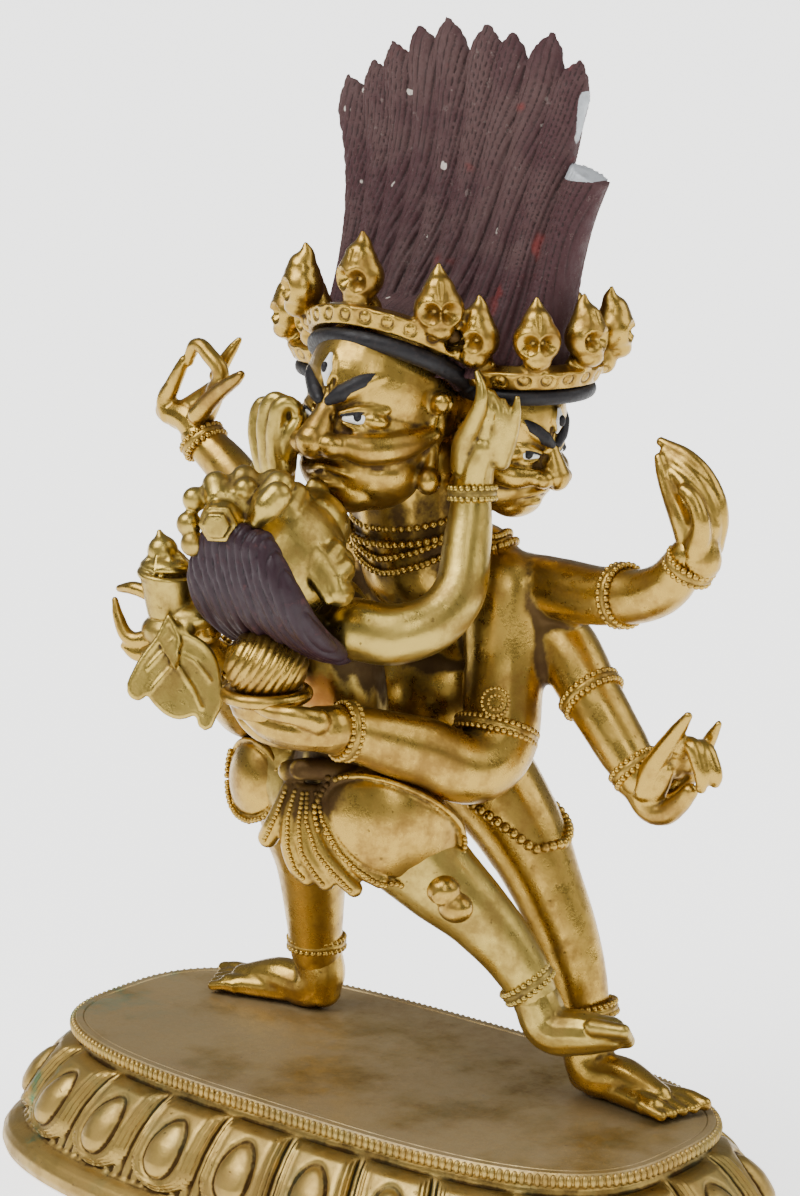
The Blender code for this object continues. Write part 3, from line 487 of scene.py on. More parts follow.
gilt = aged_gilt("gilt_bronze", (0.40, 0.255, 0.052), (0.17, 0.088, 0.022), (0.034, 0.015, 0.005))
ball((MIDDLE, 6, 47), (11, 8, 8.5))
ball((MIDDLE, 4.5, 57), (9.8, 7.8, 9))
ball((MIDDLE, 5, 68), (12.6, 8, 9.5))
limb([(MIDDLE - SHOULDER + 1, 4.5, 73.2, 5.6), (MIDDLE, 5, 74.5, 6.6),
      (MIDDLE + SHOULDER - 1, 4.5, 73.2, 5.6)])
limb([(MIDDLE, 3, 76, 9.5), (MIDDLE, 0.5, 83, 9), (MIDDLE, -0.5, 89, 9)])
limb([(MIDDLE - 9, 3.8, 76.2, 6), (MIDDLE + 9, 3.8, 76.2, 6)])
# Left leg, stretched out, and right leg, bent
limb([(12, 6.5, 46, 7.8), (18.8, 8, 37.5, 6.5), (23.4, 9, 29, 5.3), (27.2, 10, 19, 4.6),
      (29.6, 10.2, 9, 3.8)])
limb([(-1, 5, 46, 8), (-11, 2.5, 41.5, 7.2), (-19.5, 4, 35.5, 6.3), (-21, 8, 24, 5.3),
      (-23.2, 11.5, 9, 4)])
# The pair of arms that holds the consort
limb([(MIDDLE + SHOULDER, 3.3, 73, 6.3), (21.5, 0.8, 61, 5.8), (23.2, -5.5, 50.6, 5.2),
      (18.5, -14.5, 53.6, 4.9), (14.4, -24, 57.4, 3.8), (12.6, -28.5, 58.5, 3.2)])
limb([(MIDDLE - SHOULDER, 3.3, 73, 6), (-11.5, -3, 60, 5.4), (-12.5, -12, 54, 4.8),
      (-10.5, -22, 60.5, 4.1), (-9, -28.5, 66.5, 3.1)])
# The arms fanned out behind
limb([(17, 6.5, 73, 5.2), (27, 5.5, 74, 4.5), (37.5, 4, 74.8, 4.1), (46.5, 3.4, 77.2, 3.6),
      (51.3, 3.2, 82.6, 2.9)])
limb([(17, 7.5, 69, 5.2), (26, 7, 66.5, 4.9), (33.8, 5.5, 59.4, 4.2), (39.5, 4.6, 53.6, 3.8),
      (43.2, 4, 50, 3.2)])
limb([(-5.6, 6.5, 73, 5.2), (-15, 5, 74, 4.5), (-25, 4, 76.2, 4), (-33, 4, 83.6, 3.5),
      (-39.4, 4, 88, 2.9)])
limb([(-5.6, 7.5, 69, 5.2), (-14, 7, 66, 4.8), (-20.5, 7, 59.4, 4.1), (-23.5, 5, 55, 3.6)])
body = fuse("deity_body", 0.62, 8)
place_on(body, gilt, "gilt_bronze", "deity")


# The deity's feet, bare and flat on the plate. They are cast with the legs, in gilt bronze, and each toe is a
# bar of its own.

def foot(heel, toes, ankle, big=1):
    """A bare foot on its sole. big is 1 where the big toe is on the left of the foot's run, else -1."""
    back, front = Vector(heel), Vector(toes)
    up = Vector((0, 0, 1))
    along = (front - back).normalized()
    side = along.cross(up).normalized() * big
    length = (front - back).length
    limb([(*ankle, 3.7), (*(back + along * 3.4 + up * 3.8), 3.7),
          (*(back + along * length * 0.45 + up * 3.2), 3.1), (*(back + along * length * 0.72 + up * 2), 2)])
    ball(back + along * 2.6 + up * 2.6, (2.9, 2.9, 2.7))
    for reach in (-1, 1):
        limb([(*(back + along * 2.6 + up * 2.2), 2.2),
              (*(back + along * length * 0.50 + side * reach * 1.7 + up * 1.8), 1.8),
              (*(back + along * length * 0.76 + side * reach * 2.6 + up * 1.5), 1.5)])
    for toe in range(5):
        offset = (toe - 2) * 1.55
        reach = length * (0.985 - 0.03 * toe)
        thick = 1.25 if toe == 0 else 0.95
        limb([(*(back + along * length * 0.70 + side * offset + up * 1.5), 1.3),
              (*(back + along * (reach - 2.6) + side * offset * 1.12 + up * 1.5), thick),
              (*(back + along * reach + side * offset * 1.15 + up * (thick - 0.1)), thick * 0.85)], sides=3)


foot((27.8, 9.6, 0), (48.4, 10.2, 0), (30.3, 10.2, 9))
foot((-20, 12.6, 0), (-44, 9.6, 0), (-23.2, 12, 9), big=-1)
feet = fuse("deity_feet", 0.3, 4)
place_on(feet, gilt, "gilt_bronze")


# The deity's hands, each in its own gesture. They are gilt bronze, cast with the arms: the palm and each
# finger is a bar of the wax, drawn out to a slim tip.

def hand(bars):
    """A hand from its bars: the palm's, the four fingers' and the thumb's."""
    for bar in bars:
        limb(bar, sides=4)


# The left hand under the skull cup and the right hand round the lotus
hand([
    [(14.4, -27.5, 58.5, 3.3), (11.7, -30.4, 58.7, 3), (7.7, -32, 59.1, 2.4), (3.7, -32.6, 60.5, 1.5),
     (0.4, -32.4, 61.6, 0.7)],
    [(11.4, -29.6, 57.5, 2.2), (7, -31.6, 57, 1.2), (3.1, -31.8, 58.2, 1), (0.2, -31.6, 60.3, 0.55)],
    [(15.1, -31, 60.4, 1.8), (13.3, -33.4, 61.4, 1.4), (9.9, -34.4, 61.5, 1.1), (6.8, -34.6, 61.9, 0.7)],
])
hand([
    [(-9.4, -28.6, 68.5, 2.9), (-9.7, -31.5, 68.7, 2.6), (-11.6, -33.5, 68.8, 2.1)],
    [(-10.4, -33.5, 73.8, 1.2), (-12.4, -34.5, 74.5, 1.1), (-15, -35, 75, 1), (-17.7, -35, 74.6, 0.6)],
    [(-12.6, -34.5, 68, 1.5), (-15.3, -35.6, 68, 1.1), (-17.2, -35.8, 70.6, 0.85), (-18.1, -35.6, 73, 0.5)],
    [(-12.7, -34, 65.9, 1.5), (-14.4, -35.4, 66.1, 1.2), (-16.3, -35.8, 66.8, 0.6)],
    [(-8, -32, 72.4, 1.6), (-6.8, -30.5, 71.5, 1.8), (-6.4, -29.4, 69.4, 2)],
])
# The raised left hand, its fingers swept up over the thumb
hand([
    [(52.8, 3.4, 82.1, 2.9), (52.6, 3.6, 84.8, 2.6), (53.1, 4.4, 86.6, 2)],
    [(52.7, 6, 83.6, 1.7), (53.6, 6, 87.9, 1.5), (52.4, 5.8, 91.8, 1.35), (49.5, 5.2, 95.1, 1.1),
     (45.1, 4.6, 97, 0.7)],
    [(52.9, 4.8, 83.8, 1.7), (53.5, 4.6, 88.1, 1.4), (51.9, 4.4, 91.5, 1.25), (49.2, 4.2, 94, 1.05),
     (46, 4, 95.7, 0.7)],
    [(53.1, 3.4, 83.8, 1.7), (53.3, 3.2, 87.6, 1.3), (51.8, 3, 90.4, 1.2), (49.8, 3, 92.3, 1),
     (47.3, 3.2, 94, 0.65)],
    [(53.1, 2, 83.7, 1.7), (54, 1.6, 87.2, 1.3), (53.3, 1.6, 89.6, 1.2), (52.3, 1.6, 90.9, 1.15),
     (51.1, 1.6, 91.6, 0.9)],
    [(51.3, 3, 84, 1.8), (49.9, 2.6, 87.7, 1.6), (48, 2.6, 91, 1.2), (46.9, 2.6, 93.5, 1),
     (46.1, 2.8, 95.2, 0.7)],
])
# The lowered left hand, with two fingers folded and the first and last stretched up
hand([
    [(41.6, 4, 50.1, 2.9), (43.1, 4, 48.7, 2.6), (44.7, 4, 46.4, 2.2), (46.7, 4, 45.8, 1.8),
     (49.4, 4, 47.5, 1.5), (51.3, 4, 49.7, 1.2)],
    [(43.6, 6.6, 48.2, 2.4), (46.5, 7.2, 49.5, 2.2), (49.3, 6.8, 51.5, 1.6)],
    [(44.7, 2.8, 49, 1.8), (45.8, 2.6, 51.9, 1.7), (48, 2.4, 55.2, 1.45), (50.4, 2.2, 58.4, 1.15),
     (52.2, 2, 60.8, 0.65)],
    [(48.2, 5, 52.2, 1.5), (50, 4, 55.3, 1.4), (51.9, 3.4, 56.3, 1.3), (53.3, 3, 54.4, 1.15),
     (54, 3, 52, 1), (53.7, 3.2, 50.8, 0.8)],
    [(50.1, 5.6, 53, 1.4), (51.6, 5, 55.5, 1.3), (53.2, 4.6, 55.8, 1.25), (54.6, 4.4, 54.1, 1.15),
     (55.3, 4.4, 52.4, 0.95), (55, 4.6, 51.5, 0.8)],
    [(50, 7, 52.6, 1.3), (51.3, 7.2, 54.9, 1.15), (52.5, 7.2, 57, 0.9), (53.6, 7.2, 58.9, 0.5)],
    [(45.3, 3.6, 48, 1.6), (47.2, 3.2, 50.2, 1.25), (48.5, 3.2, 52.4, 0.8)],
])
# The raised right hand, with the thumb and a bent finger closed in a ring
hand([
    [(-39.1, 4, 88, 2.5), (-41.1, 4, 90.2, 2.5), (-43.6, 4, 90.8, 2.2), (-45.9, 4, 91.2, 1.8)],
    [(-40.1, 4.4, 89.7, 2.2), (-37.8, 4.4, 92.6, 1.8), (-35.9, 4.4, 95.6, 1.5)],
    [(-43.1, 4.8, 91.4, 1.6), (-39.8, 4.8, 93.3, 1.6), (-37.3, 4.8, 95.1, 1.3)],
    [(-44.9, 3.4, 90.8, 1.6), (-45.5, 3.4, 92.5, 1.5), (-44, 3.4, 95.3, 1.25), (-42.5, 3.4, 97.7, 1.05),
     (-41.8, 3.6, 99.1, 0.85)],
    [(-35.8, 4, 95, 1.5), (-34.7, 4, 97.8, 1.3), (-36.9, 4, 100.3, 1.25), (-39.5, 4, 101.7, 1.1),
     (-40.8, 4, 100.2, 0.95), (-41.2, 4, 99, 0.75)],
    [(-37.9, 6.5, 96.9, 1.2), (-36.5, 7, 99.5, 1.05), (-35.4, 7.4, 101.2, 0.85), (-34.5, 7.8, 102.5, 0.5)],
    [(-38.2, 2.6, 91.6, 1.6), (-35.1, 2.4, 94.3, 1.4), (-31.8, 2, 96.6, 1.2), (-29.5, 1.6, 97.9, 1),
     (-28.3, 1.4, 98.7, 0.7)],
])
# The lowered right hand, which the photographed side hides
hand([
    [(-23.8, 4.8, 55, 3), (-25.2, 4.2, 51.6, 3), (-26.4, 3.8, 48.8, 2.4)],
    [(-25, 2.4, 51.4, 1.5), (-27.4, 1.6, 48, 1.3), (-28, 2.2, 45.2, 0.8)],
    [(-25.6, 3.4, 50.8, 1.5), (-28, 2.8, 47, 1.3), (-28.2, 3.6, 43.9, 0.8)],
    [(-25.4, 4.6, 50.4, 1.5), (-27.4, 4.4, 46.4, 1.3), (-27.4, 5.2, 43.6, 0.8)],
    [(-24.8, 5.8, 50.4, 1.4), (-26.2, 6, 46.8, 1.2), (-25.8, 6.6, 44.4, 0.7)],
    [(-23.4, 2.6, 53.2, 1.5), (-24, 0.6, 50.4, 1.2), (-25.6, 0.2, 48.2, 0.7)],
])
hands = fuse("deity_hands", 0.27, 2, 8)
place_on(hands, gilt, "gilt_bronze")


# The three wrathful heads, of gilt bronze and cast with the trunk, with their creases cut in. Black brows
# and pupils and white eyes are painted cold on the gilding.

def head(name, centre, facing, pitch, size):
    """A wrathful head looking along facing, lifted by pitch degrees."""
    turn = Matrix.Rotation(math.atan2(facing[1], facing[0]), 4, "Z") @ Matrix.Rotation(
        math.radians(-pitch), 4, "Y")

    def at(forward, left, up, radius=None):
        moved = turn @ Vector((forward, left, up)) * size
        point = tuple(centre[k] + moved[k] for k in range(3))
        return point if radius is None else (*point, radius * size)

    def lump(spot, radii):
        ball(at(*spot), tuple(r * size for r in radii), turn)

    lump((0.6, 0, 3.2), (12.6, 10, 10.4))
    lump((2, 0, -4.6), (9.2, 9.4, 7.6))
    lump((2.4, 0, -8.4), (7.4, 9.3, 6))
    lump((4.4, 0, -12), (3.9, 5.6, 3.2))
    lump((12.7, 0, 2.8), (1.2, 1.3, 2.7))
    limb([at(11.4, 0, 1, 1.2), at(12, 0, -2.6, 1.5), at(12.8, 0, -5.6, 2.2), at(13.1, 0, -7, 2.6)])
    for side in (-1, 1):
        lump((12.1, side * 2.5, -7.3), (2.2, 2, 1.7))
        lump((7.2, side * 5, -6.4), (3.8, 3.4, 2.2))
        limb([at(11, side * 3.4, -6.8, 1.7), at(8.6, side * 6, -6.6, 2.3), at(4.8, side * 8.2, -5, 2.2),
              at(0.4, side * 9.4, -2.4, 1.4)])
        limb([at(12.4, side * 0.9, -1.2, 1), at(11.6, side * 3.2, 0.6, 1.3), at(9.8, side * 5.6, 2.9, 1.2),
              at(7, side * 7.6, 4.6, 0.7)])
        lump((8.3, side * 4.9, -2.7), (2.1, 3, 1.5))
        limb([at(11.7, side * 2.4, -2.7, 0.5), at(10.6, side * 4.7, -1.7, 0.65),
              at(7.8, side * 7.1, -0.9, 0.5)])
        limb([at(11.4, side * 2.8, -3.9, 0.4), at(10, side * 4.9, -4.2, 0.5), at(7.6, side * 7, -3.2, 0.4)])
        lump((-0.4, side * 9.4, -1.2), (1.7, 1, 3.4))
        limb([at(0.6, side * 9, 1.8, 1.4), at(1.8, side * 11.3, 2, 1.6)])
        limb([at(-0.5, side * 9.4, -4, 1), at(-0.5, side * 9.8, -6.6, 1.1)])
        lump((-0.4, side * 10.1, -8.6), (1.9, 1.7, 2))
    limb([at(7.4, -4.8, -10.6, 0.5), at(9.2, -2.2, -10.1, 0.7), at(9.9, 0, -9.9, 0.7),
          at(9.2, 2.2, -10.1, 0.7), at(7.4, 4.8, -10.6, 0.5)])
    limb([at(6.8, -3.6, -12, 0.5), at(8.7, 0, -12, 0.7), at(6.8, 3.6, -12, 0.5)])
    face = fuse(name, 0.26, 4, 0)
    for side in (-1, 1):
        for apart in (0.5, 1.1):
            scribe(face, [at(13, side * apart, 1.6), at(13.1, side * apart * 0.8, -1.4)], 0.4, 0.28)
        under_eye = [at(12.2, side * 1.6, -3.4), at(11, side * 3.4, -5), at(7.6, side * 7.2, -4.8)]
        scribe(face, under_eye, 0.4, 0.45)
        scribe(face, [at(12.2, side * 3.6, -9.2), at(9, side * 6, -9.6), at(5, side * 8.4, -8.4)], 0.25, 0.5)
        scribe(face, [at(12.8, side * 1.2, -8.9), at(13.4, side * 1.6, -8.4)], 0.5, 0.5)
    scribe(face, [at(6, -5.2, -11.4), at(8, -3.4, -10.8), at(10, 0, -10.6), at(8, 3.4, -10.8),
                  at(6, 5.2, -11.4)], 0.45, 0.3)
    mark_hollows(face, 14)
    return face, at


SIDE_FACES = 6.5
SIDE_HEADS = 9.8
heads = [
    head("deity_main_head", (MIDDLE, -6.2, 98.2), (0, -1), 20, 1),
    head("deity_left_head", (MIDDLE + SIDE_HEADS, SIDE_FACES, 95.2), (1, 0), 0, 0.80),
    head("deity_right_head", (MIDDLE - SIDE_HEADS, SIDE_FACES, 95.2), (-1, 0), 0, 0.80),
]

white_paint = Finish("white_paint").set(Roughness=0.35, Base_Color=(0.72, 0.72, 0.68))
black_paint = Finish("dark_paint")
speck = black_paint.noise(1500, 4, 0.7)
black_paint.set(
    Base_Color=black_paint.mix(speck.band(0.5, 0.75), (0.004, 0.003, 0.004), (0.022, 0.015, 0.014)),
    Specular_IOR_Level=0.3, Roughness=speck.band(0.3, 0.7, 0.40, 0.65),
    Normal=black_paint.bump(speck, 0.3, 0.0002),
)
for face, at in heads:
    place_on(face, gilt, "gilt_bronze")
    for side in (-1, 1):
        limb([at(11.3, side * 3, -3.2, 0.45), at(10.3, side * 4.6, -2.9, 0.8),
              at(8.2, side * 6.5, -2.1, 0.45)])
    limb([at(13.6, 0, 4.9, 0.3), at(13.75, 0, 2.9, 0.85), at(13.2, 0, 0.8, 0.3)])
    eyes = fuse(face.name + "_eyes", 0.12, 1, 0)
    place_on(eyes, white_paint, "white_paint")
    for side in (-1, 1):
        ball(at(10.75, side * 4.7, -2.8), (0.62, 0.62, 0.62))
        limb([at(12.8, side * 0.9, -1.3, 0.8), at(12.3, side * 2.2, -0.1, 1.25), at(11, side * 4.4, 2, 1.3),
              at(9.1, side * 6.3, 3.9, 0.8), at(7.8, side * 7.4, 4.8, 0.3)])
        limb([at(11.9, side * 2.7, -2.9, 0.22), at(10.9, side * 4.7, -2.1, 0.3),
              at(8.2, side * 7, -1.3, 0.22)])
    ball(at(14.2, 0, 2.9), (0.55, 0.55, 0.85))
    brows = fuse(face.name + "_brows", 0.15, 1, 0)
    place_on(brows, black_paint, "dark_paint")


# The crowns: a flat gilt band with small punched rings over a roll of black hair, and skulls behind it,
# each with deep eye sockets and a flame-shaped point. The skulls stand a little off the hair.

BAND_HALF = 1.2
SIDE_REACH = 14.9


def band(centre, normal, radius, tilt_out):
    """A flat brim round the head, wider than it is thick."""
    bpy.ops.mesh.primitive_cylinder_add(
        vertices=96, radius=radius * MM, depth=2 * BAND_HALF * MM, end_fill_type="NOTHING")
    ring = bpy.context.object
    co = points_of(ring)
    up = co[:, 2] / (BAND_HALF * MM)
    co[:, :2] *= (1 + (tilt_out * up * MM) / np.linalg.norm(co[:, :2], axis=1))[:, None]
    move_points(ring, co)
    apply(ring, "SOLIDIFY", thickness=2.6 * MM, offset=-1)
    apply(ring, "BEVEL", width=0.35 * MM, segments=2, limit_method="ANGLE")
    turn = Vector(normal).to_track_quat("Z", "X").to_matrix().to_4x4()
    ring.matrix_world = Matrix.Translation(here(centre)) @ turn
    keep(ring)


def loop(centre, normal, radius, thick, count=72):
    """A round bar bent into a ring."""
    bpy.ops.mesh.primitive_torus_add(
        major_segments=count, minor_segments=10, major_radius=radius * MM, minor_radius=thick * MM,
        location=here(centre), rotation=Vector(normal).to_track_quat("Z", "X").to_euler(),
    )
    keep(bpy.context.object)


def skull(centre, outward, size=1):
    """One skull, 9 mm tall, with its point leaning back."""
    out = Vector((outward[0], outward[1], 0)).normalized()
    side = Vector((-out.y, out.x, 0))
    up = Vector((0, 0, 1))
    point = Vector(centre)
    turn = Matrix.Rotation(math.atan2(out.y, out.x), 4, "Z")
    ball(point, (3.1 * size, 3.5 * size, 3.3 * size), turn, 32)
    ball(point + (out * 0.6 - up * 2.7) * size, (2 * size, 2.1 * size, 1.6 * size), turn, 24)
    limb([(*(point + up * 1.4 * size), 2.7 * size), (*(point + (up * 3.2 - out * 0.2) * size), 2.2 * size),
          (*(point + (up * 4.7 - out * 0.6) * size), 1.2 * size),
          (*(point + (up * 5.9 - out * 0.5) * size), 0.4 * size)])
    limb([(*(point - (up * 2.4 + out * 0.6) * size), 1.5 * size),
          (*(point - (up * 4.6 + out * 1.6) * size), 2 * size)])
    for reach in (-1, 1):
        sockets.append((point + (out * 2.9 + side * reach * 1.6 - up * 0.3) * size, 1.5 * size))
    creases.extend([
        [point + (out * 2.9 + side * k * 0.5 + up * 1.8) * size,
         point + (out * 2 + side * k * 1.1 + up * 3.8) * size]
        for k in (-1, 0, 1)
    ])


sockets = []
creases = []
MAIN_BAND = (MIDDLE, -2.6, 105.9)
MAIN_TILT = (0, 0.55, 1)
SIDE_BANDS = [(MIDDLE + side * SIDE_REACH, SIDE_FACES, 103.7) for side in (1, -1)]
band(MAIN_BAND, MAIN_TILT, 13.7, 0.7)
for centre in SIDE_BANDS:
    band(centre, (0, 0, 1), 10.4, 0.6)
for offset, depth, height in ((-13, -8.5, 114.6), (0, -11.2, 117.4), (11.4, -8.2, 113.6)):
    skull((MIDDLE + offset, depth, height), (offset * 0.09, -1))
for side in (-1, 1):
    for angle, reach in ((-92, 10.4), (-44, 10.4), (0, 10.4), (44, 12.2), (92, 10.4)):
        bearing = math.radians(angle)
        out = (side * math.cos(bearing), math.sin(bearing))
        skull((MIDDLE + side * SIDE_REACH + out[0] * reach, SIDE_FACES + out[1] * reach, 109.5), out, 0.95)
crowns = fuse("deity_crowns", 0.26, 2, 0)
co = points_of(crowns)
normals = normals_of(crowns)
press = np.zeros(len(co))
for centre, radius in sockets:
    away = np.linalg.norm(co - np.array(here(centre)), axis=1) / MM
    press = np.maximum(press, 1.9 * np.clip(1.25 - (away / radius) ** 2, 0, 1) ** 0.7)
for crease in creases:
    press = np.maximum(press, 0.3 * np.exp(-(near_route(co, crease) / 0.25) ** 2))
for centre, normal, radius in ((MAIN_BAND, MAIN_TILT, 14), *((spot, (0, 0, 1), 10.7) for spot in SIDE_BANDS)):
    turn = Vector(normal).to_track_quat("Z", "X").to_matrix()
    rings = round(math.tau * radius / 3.4)
    for index in range(rings):
        angle = index / rings * math.tau
        spot = Vector(centre) + turn @ Vector((math.cos(angle) * radius, math.sin(angle) * radius, 0.1))
        away = np.linalg.norm(co - np.array(here(spot)), axis=1) / MM
        press = np.maximum(press, 0.3 * np.exp(-((away - 0.85) / 0.24) ** 2))
move_points(crowns, co - normals * (press * MM)[:, None])
mark_hollows(crowns, 8)
place_on(crowns, gilt, "gilt_bronze")

low = Vector(MAIN_BAND) - Vector(MAIN_TILT).normalized() * 2.4
loop(low, MAIN_TILT, 11.6, 1.35)
for centre in SIDE_BANDS:
    loop(Vector(centre) - Vector((0, 0, 2.2)), (0, 0, 1), 8.6, 1.2)
rolls = fuse("deity_hair_rolls", 0.36, 2, 0)
place_on(rolls, black_paint, "dark_paint")


# The hair: swept back from the crowns and up into a thin fan of wavy locks with pointed ends, painted a dull
# red-brown that has gone dark and dusty. The last lock is broken off, and bare metal shows along the break.

HAIR_FOOT = 104
HAIR_RISE = 46.5
LOCK_WIDTH = 3.1
STEPS = 18
TIPS = [(-16.6, 142.2), (-11.8, 144.6), (-8.2, 147.4), (-3.4, 149.9), (1.7, 151.2), (9.1, 150.6),
        (13.6, 149.7), (20.6, 149.9), (25.4, 146.3), (28, 131)]


def make_hair():
    for index, (tip_x, tip_z) in enumerate(TIPS):
        share = index / (len(TIPS) - 1)
        broken = index == len(TIPS) - 1
        foot_x = MIDDLE + 1 + (share - 0.5) * 34
        plan = math.sqrt(1 - 0.82 * (2 * share - 1) ** 2)
        points = []
        for step in range(STEPS + 1):
            height = HAIR_FOOT + (tip_z - HAIR_FOOT) * step / STEPS
            rise = step / STEPS
            taper = 1 if broken else min(1, 0.05 + 0.95 * ((tip_z - height) / 4) ** 0.75)
            points.append((foot_x + (tip_x - foot_x) * rise ** 3, 0, height, LOCK_WIDTH * taper))
        limb(points, round_ends=False, sides=8, fine=4)
        lock = lumps[-1]
        co = points_of(lock)
        rise = np.clip((co[:, 2] / MM - PLATE - HAIR_FOOT) / HAIR_RISE, 0, 1)
        swell = (1 - rise) ** 2.2
        co[:, 1] = co[:, 1] * (1.5 + 12 * plan * swell) / LOCK_WIDTH + (12 - 7.5 * swell) * MM
        move_points(lock, co)
    ball((MIDDLE, 3, 106.5), (16.5, 11, 7.5))
    return fuse("deity_hair", 0.29, 1, 0)


hair = make_hair()
co = points_of(hair)
normals = normals_of(hair)
x, y, z = (co[:, 0] / MM, co[:, 1] / MM, co[:, 2] / MM - PLATE)
rise = np.clip((z - HAIR_FOOT) / HAIR_RISE, 0, 1)
spread = (x - MIDDLE - 1 - 3 * rise ** 3) / (17 + 5 * rise ** 3)
sweep = 1.3 * np.sin(rise * 5 + 0.6) + 0.5 * np.sin(rise * 11 + spread * 3)
strand = spread * 40 + sweep * 2.2 + 1.6 * np.sin(spread * 7)
groove = np.abs(np.sin(strand * 0.5 * math.pi)) ** 0.6
fine_groove = np.abs(np.sin(strand * 1.27 * math.pi + 0.6))
facing = np.clip(np.abs(normals[:, 1]) * 1.4, 0, 1)
relief = ((groove - 0.6) * 0.40 + (fine_groove - 0.6) * 0.20) * facing
move_points(hair, co + normals * (relief * MM)[:, None])
break_edge = np.clip((x - 24.3 - (z - 131.5) * 0.14) / 0.8, 0, 1) * ((z > 130.2) & (z < 142))
note(hair, "bare", break_edge)
mark_hollows(hair, 5)

hair_paint = Finish("hair_paint")
hollow = hair_paint.attribute("hollow")
dust = hair_paint.noise(700, 6, 0.75)
cloud = hair_paint.noise(70, 4, 0.6)
colour = hair_paint.mix(cloud.band(0.40, 0.62), (0.044, 0.016, 0.018), (0.066, 0.034, 0.032))
# Painted shade: the paint goes darker in the hollows of the grooved locks
colour = hair_paint.mix(hollow.band(0, 0.10) * 0.75, colour, (0.020, 0.010, 0.009))
colour = hair_paint.mix(dust.band(0.58, 0.74) * 0.45, colour, (0.20, 0.165, 0.15))
colour = hair_paint.mix(hair_paint.noise(110, 3, 0.5).band(0.62, 0.70) * 0.5, colour, (0.20, 0.020, 0.016))
bare = (hair_paint.attribute("bare") + (dust - 0.5) * 0.6).band(0.45, 0.6)
flecks = hair_paint.noise(340, 1, 0.3).band(0.765, 0.785)
colour = hair_paint.mix(flecks * 0.8, colour, (0.55, 0.50, 0.44))
hair_paint.set(
    Base_Color=hair_paint.mix(bare, colour, (0.46, 0.48, 0.50)), Metallic=bare * 0.8,
    Specular_IOR_Level=0.25, Roughness=dust.band(0.3, 0.7, 0.50, 0.85),
    Normal=hair_paint.bump(dust, 0.6, 0.0004),
)
place_on(hair, hair_paint, "hair_paint")


# The consort. A casting of its own, paler than the deity's: she stands against his chest with her arms round
# his neck, her head thrown back and one leg along his.

pale_gilt = aged_gilt(
    "pale_gilt", (0.40, 0.285, 0.068), (0.19, 0.115, 0.03), (0.034, 0.016, 0.006), roughness=0.30, grime=1.5)

# A rubbed patch of bare copper on her back, and pale dust where the cup meets the hand
for finish, spot, reach, tone in (
    (pale_gilt, (7, -21, 62), 4.2, (0.24, 0.075, 0.014)), (gilt, (-1, -32, 62), 4, (0.50, 0.48, 0.43)),
):
    away = finish.away_from(tuple(here(spot)))
    mask = ((away * -1000 + reach) * 0.25 + finish.noise(420, 4, 0.7)).band(0.55, 0.85)
    finish.set(Base_Color=finish.mix(mask * 0.7, finish.colour_so_far(), tone))

ball((MIDDLE, -14.5, 43.5), (10.5, 8, 8))
limb([(MIDDLE, -14.5, 46, 8.2), (MIDDLE, -15, 54, 6.6), (MIDDLE, -16.5, 63, 6.8), (MIDDLE, -19, 71, 6.6)])
limb([(MIDDLE - 6.5, -20.5, 71, 4.2), (MIDDLE + 6.5, -20.5, 71, 4.2)])
limb([(MIDDLE, -20.5, 73, 3.8), (MIDDLE, -23.5, 79, 3.8)])
limb([(13, -21, 71, 4.4), (18.6, -18, 70.6, 4.2), (22.5, -12, 74, 3.8), (21.3, -7, 82.5, 3.4),
      (20.4, -5, 89, 2.7)])
limb([(-1.6, -21, 71, 4.2), (-6.6, -20, 74, 3.8), (-7.6, -18.5, 82, 3.4), (-5, -18.6, 90, 2.7)])
limb([(12, -13, 41.5, 8), (17.5, -9.5, 34.5, 6.3), (23, -5.5, 28, 4.9), (27.5, -2.4, 21, 4),
      (29.6, -1.5, 16.5, 3.3)])
limb([(0, -13, 43, 7.8), (-8, -11.5, 47.5, 6.4), (-13, -5, 49, 5.2)])
limb([(-13, -5, 49, 5.2), (-13, 4, 49, 4), (-10.4, 12, 48, 3), (-6, 15.8, 47, 2.6),
      (-1, 17, 46, 1.7)])
her_body = fuse("consort_body", 0.55, 7)
place_on(her_body, pale_gilt, "pale_gilt", "consort")

limb([(29.6, -1.5, 16.5, 3.4), (31.6, -0.8, 12.8, 3.6), (36.5, 0.2, 12.8, 3.2), (40.5, 1.2, 13.3, 2.5)])
for toe in range(5):
    limb([(39.6, -1.4 + toe * 1.1, 14.8 - toe * 0.8, 1.3),
          (44.4 - toe * 0.6, -1 + toe * 1.1, 15.2 - toe * 0.8, 1.05)])
hand([
    [(20.7, -5, 89.6, 2.7), (21.6, -5.4, 92.5, 2.5), (22.6, -5.2, 94.9, 2.2)],
    [(19.9, -6.6, 92.2, 1.7), (20.7, -7.2, 95.5, 1.6), (22.5, -7.4, 98.7, 1.3), (23.8, -7.4, 101.6, 1),
     (23.7, -7.2, 103.7, 0.8), (22.8, -7, 105.4, 0.45)],
    [(22.1, -5.4, 93.9, 1.5), (23.4, -5.6, 97.5, 1.1), (23.8, -5.6, 100.3, 0.95), (23.4, -5.6, 102.7, 0.6)],
    [(23.3, -5, 94.2, 1.5), (24.9, -5, 97.6, 1.05), (24.9, -5, 100.3, 0.95), (23.8, -5, 102.4, 0.6)],
    [(24.2, -4.4, 94, 1.4), (25.8, -4.4, 97.3, 1), (25.9, -4.4, 99.8, 0.85), (25.2, -4.4, 101.4, 0.55)],
    [(24.5, -3.8, 93.2, 1.4), (26.2, -3.8, 96.7, 0.95), (27, -3.8, 100, 0.75), (27.2, -3.8, 102, 0.4)],
])
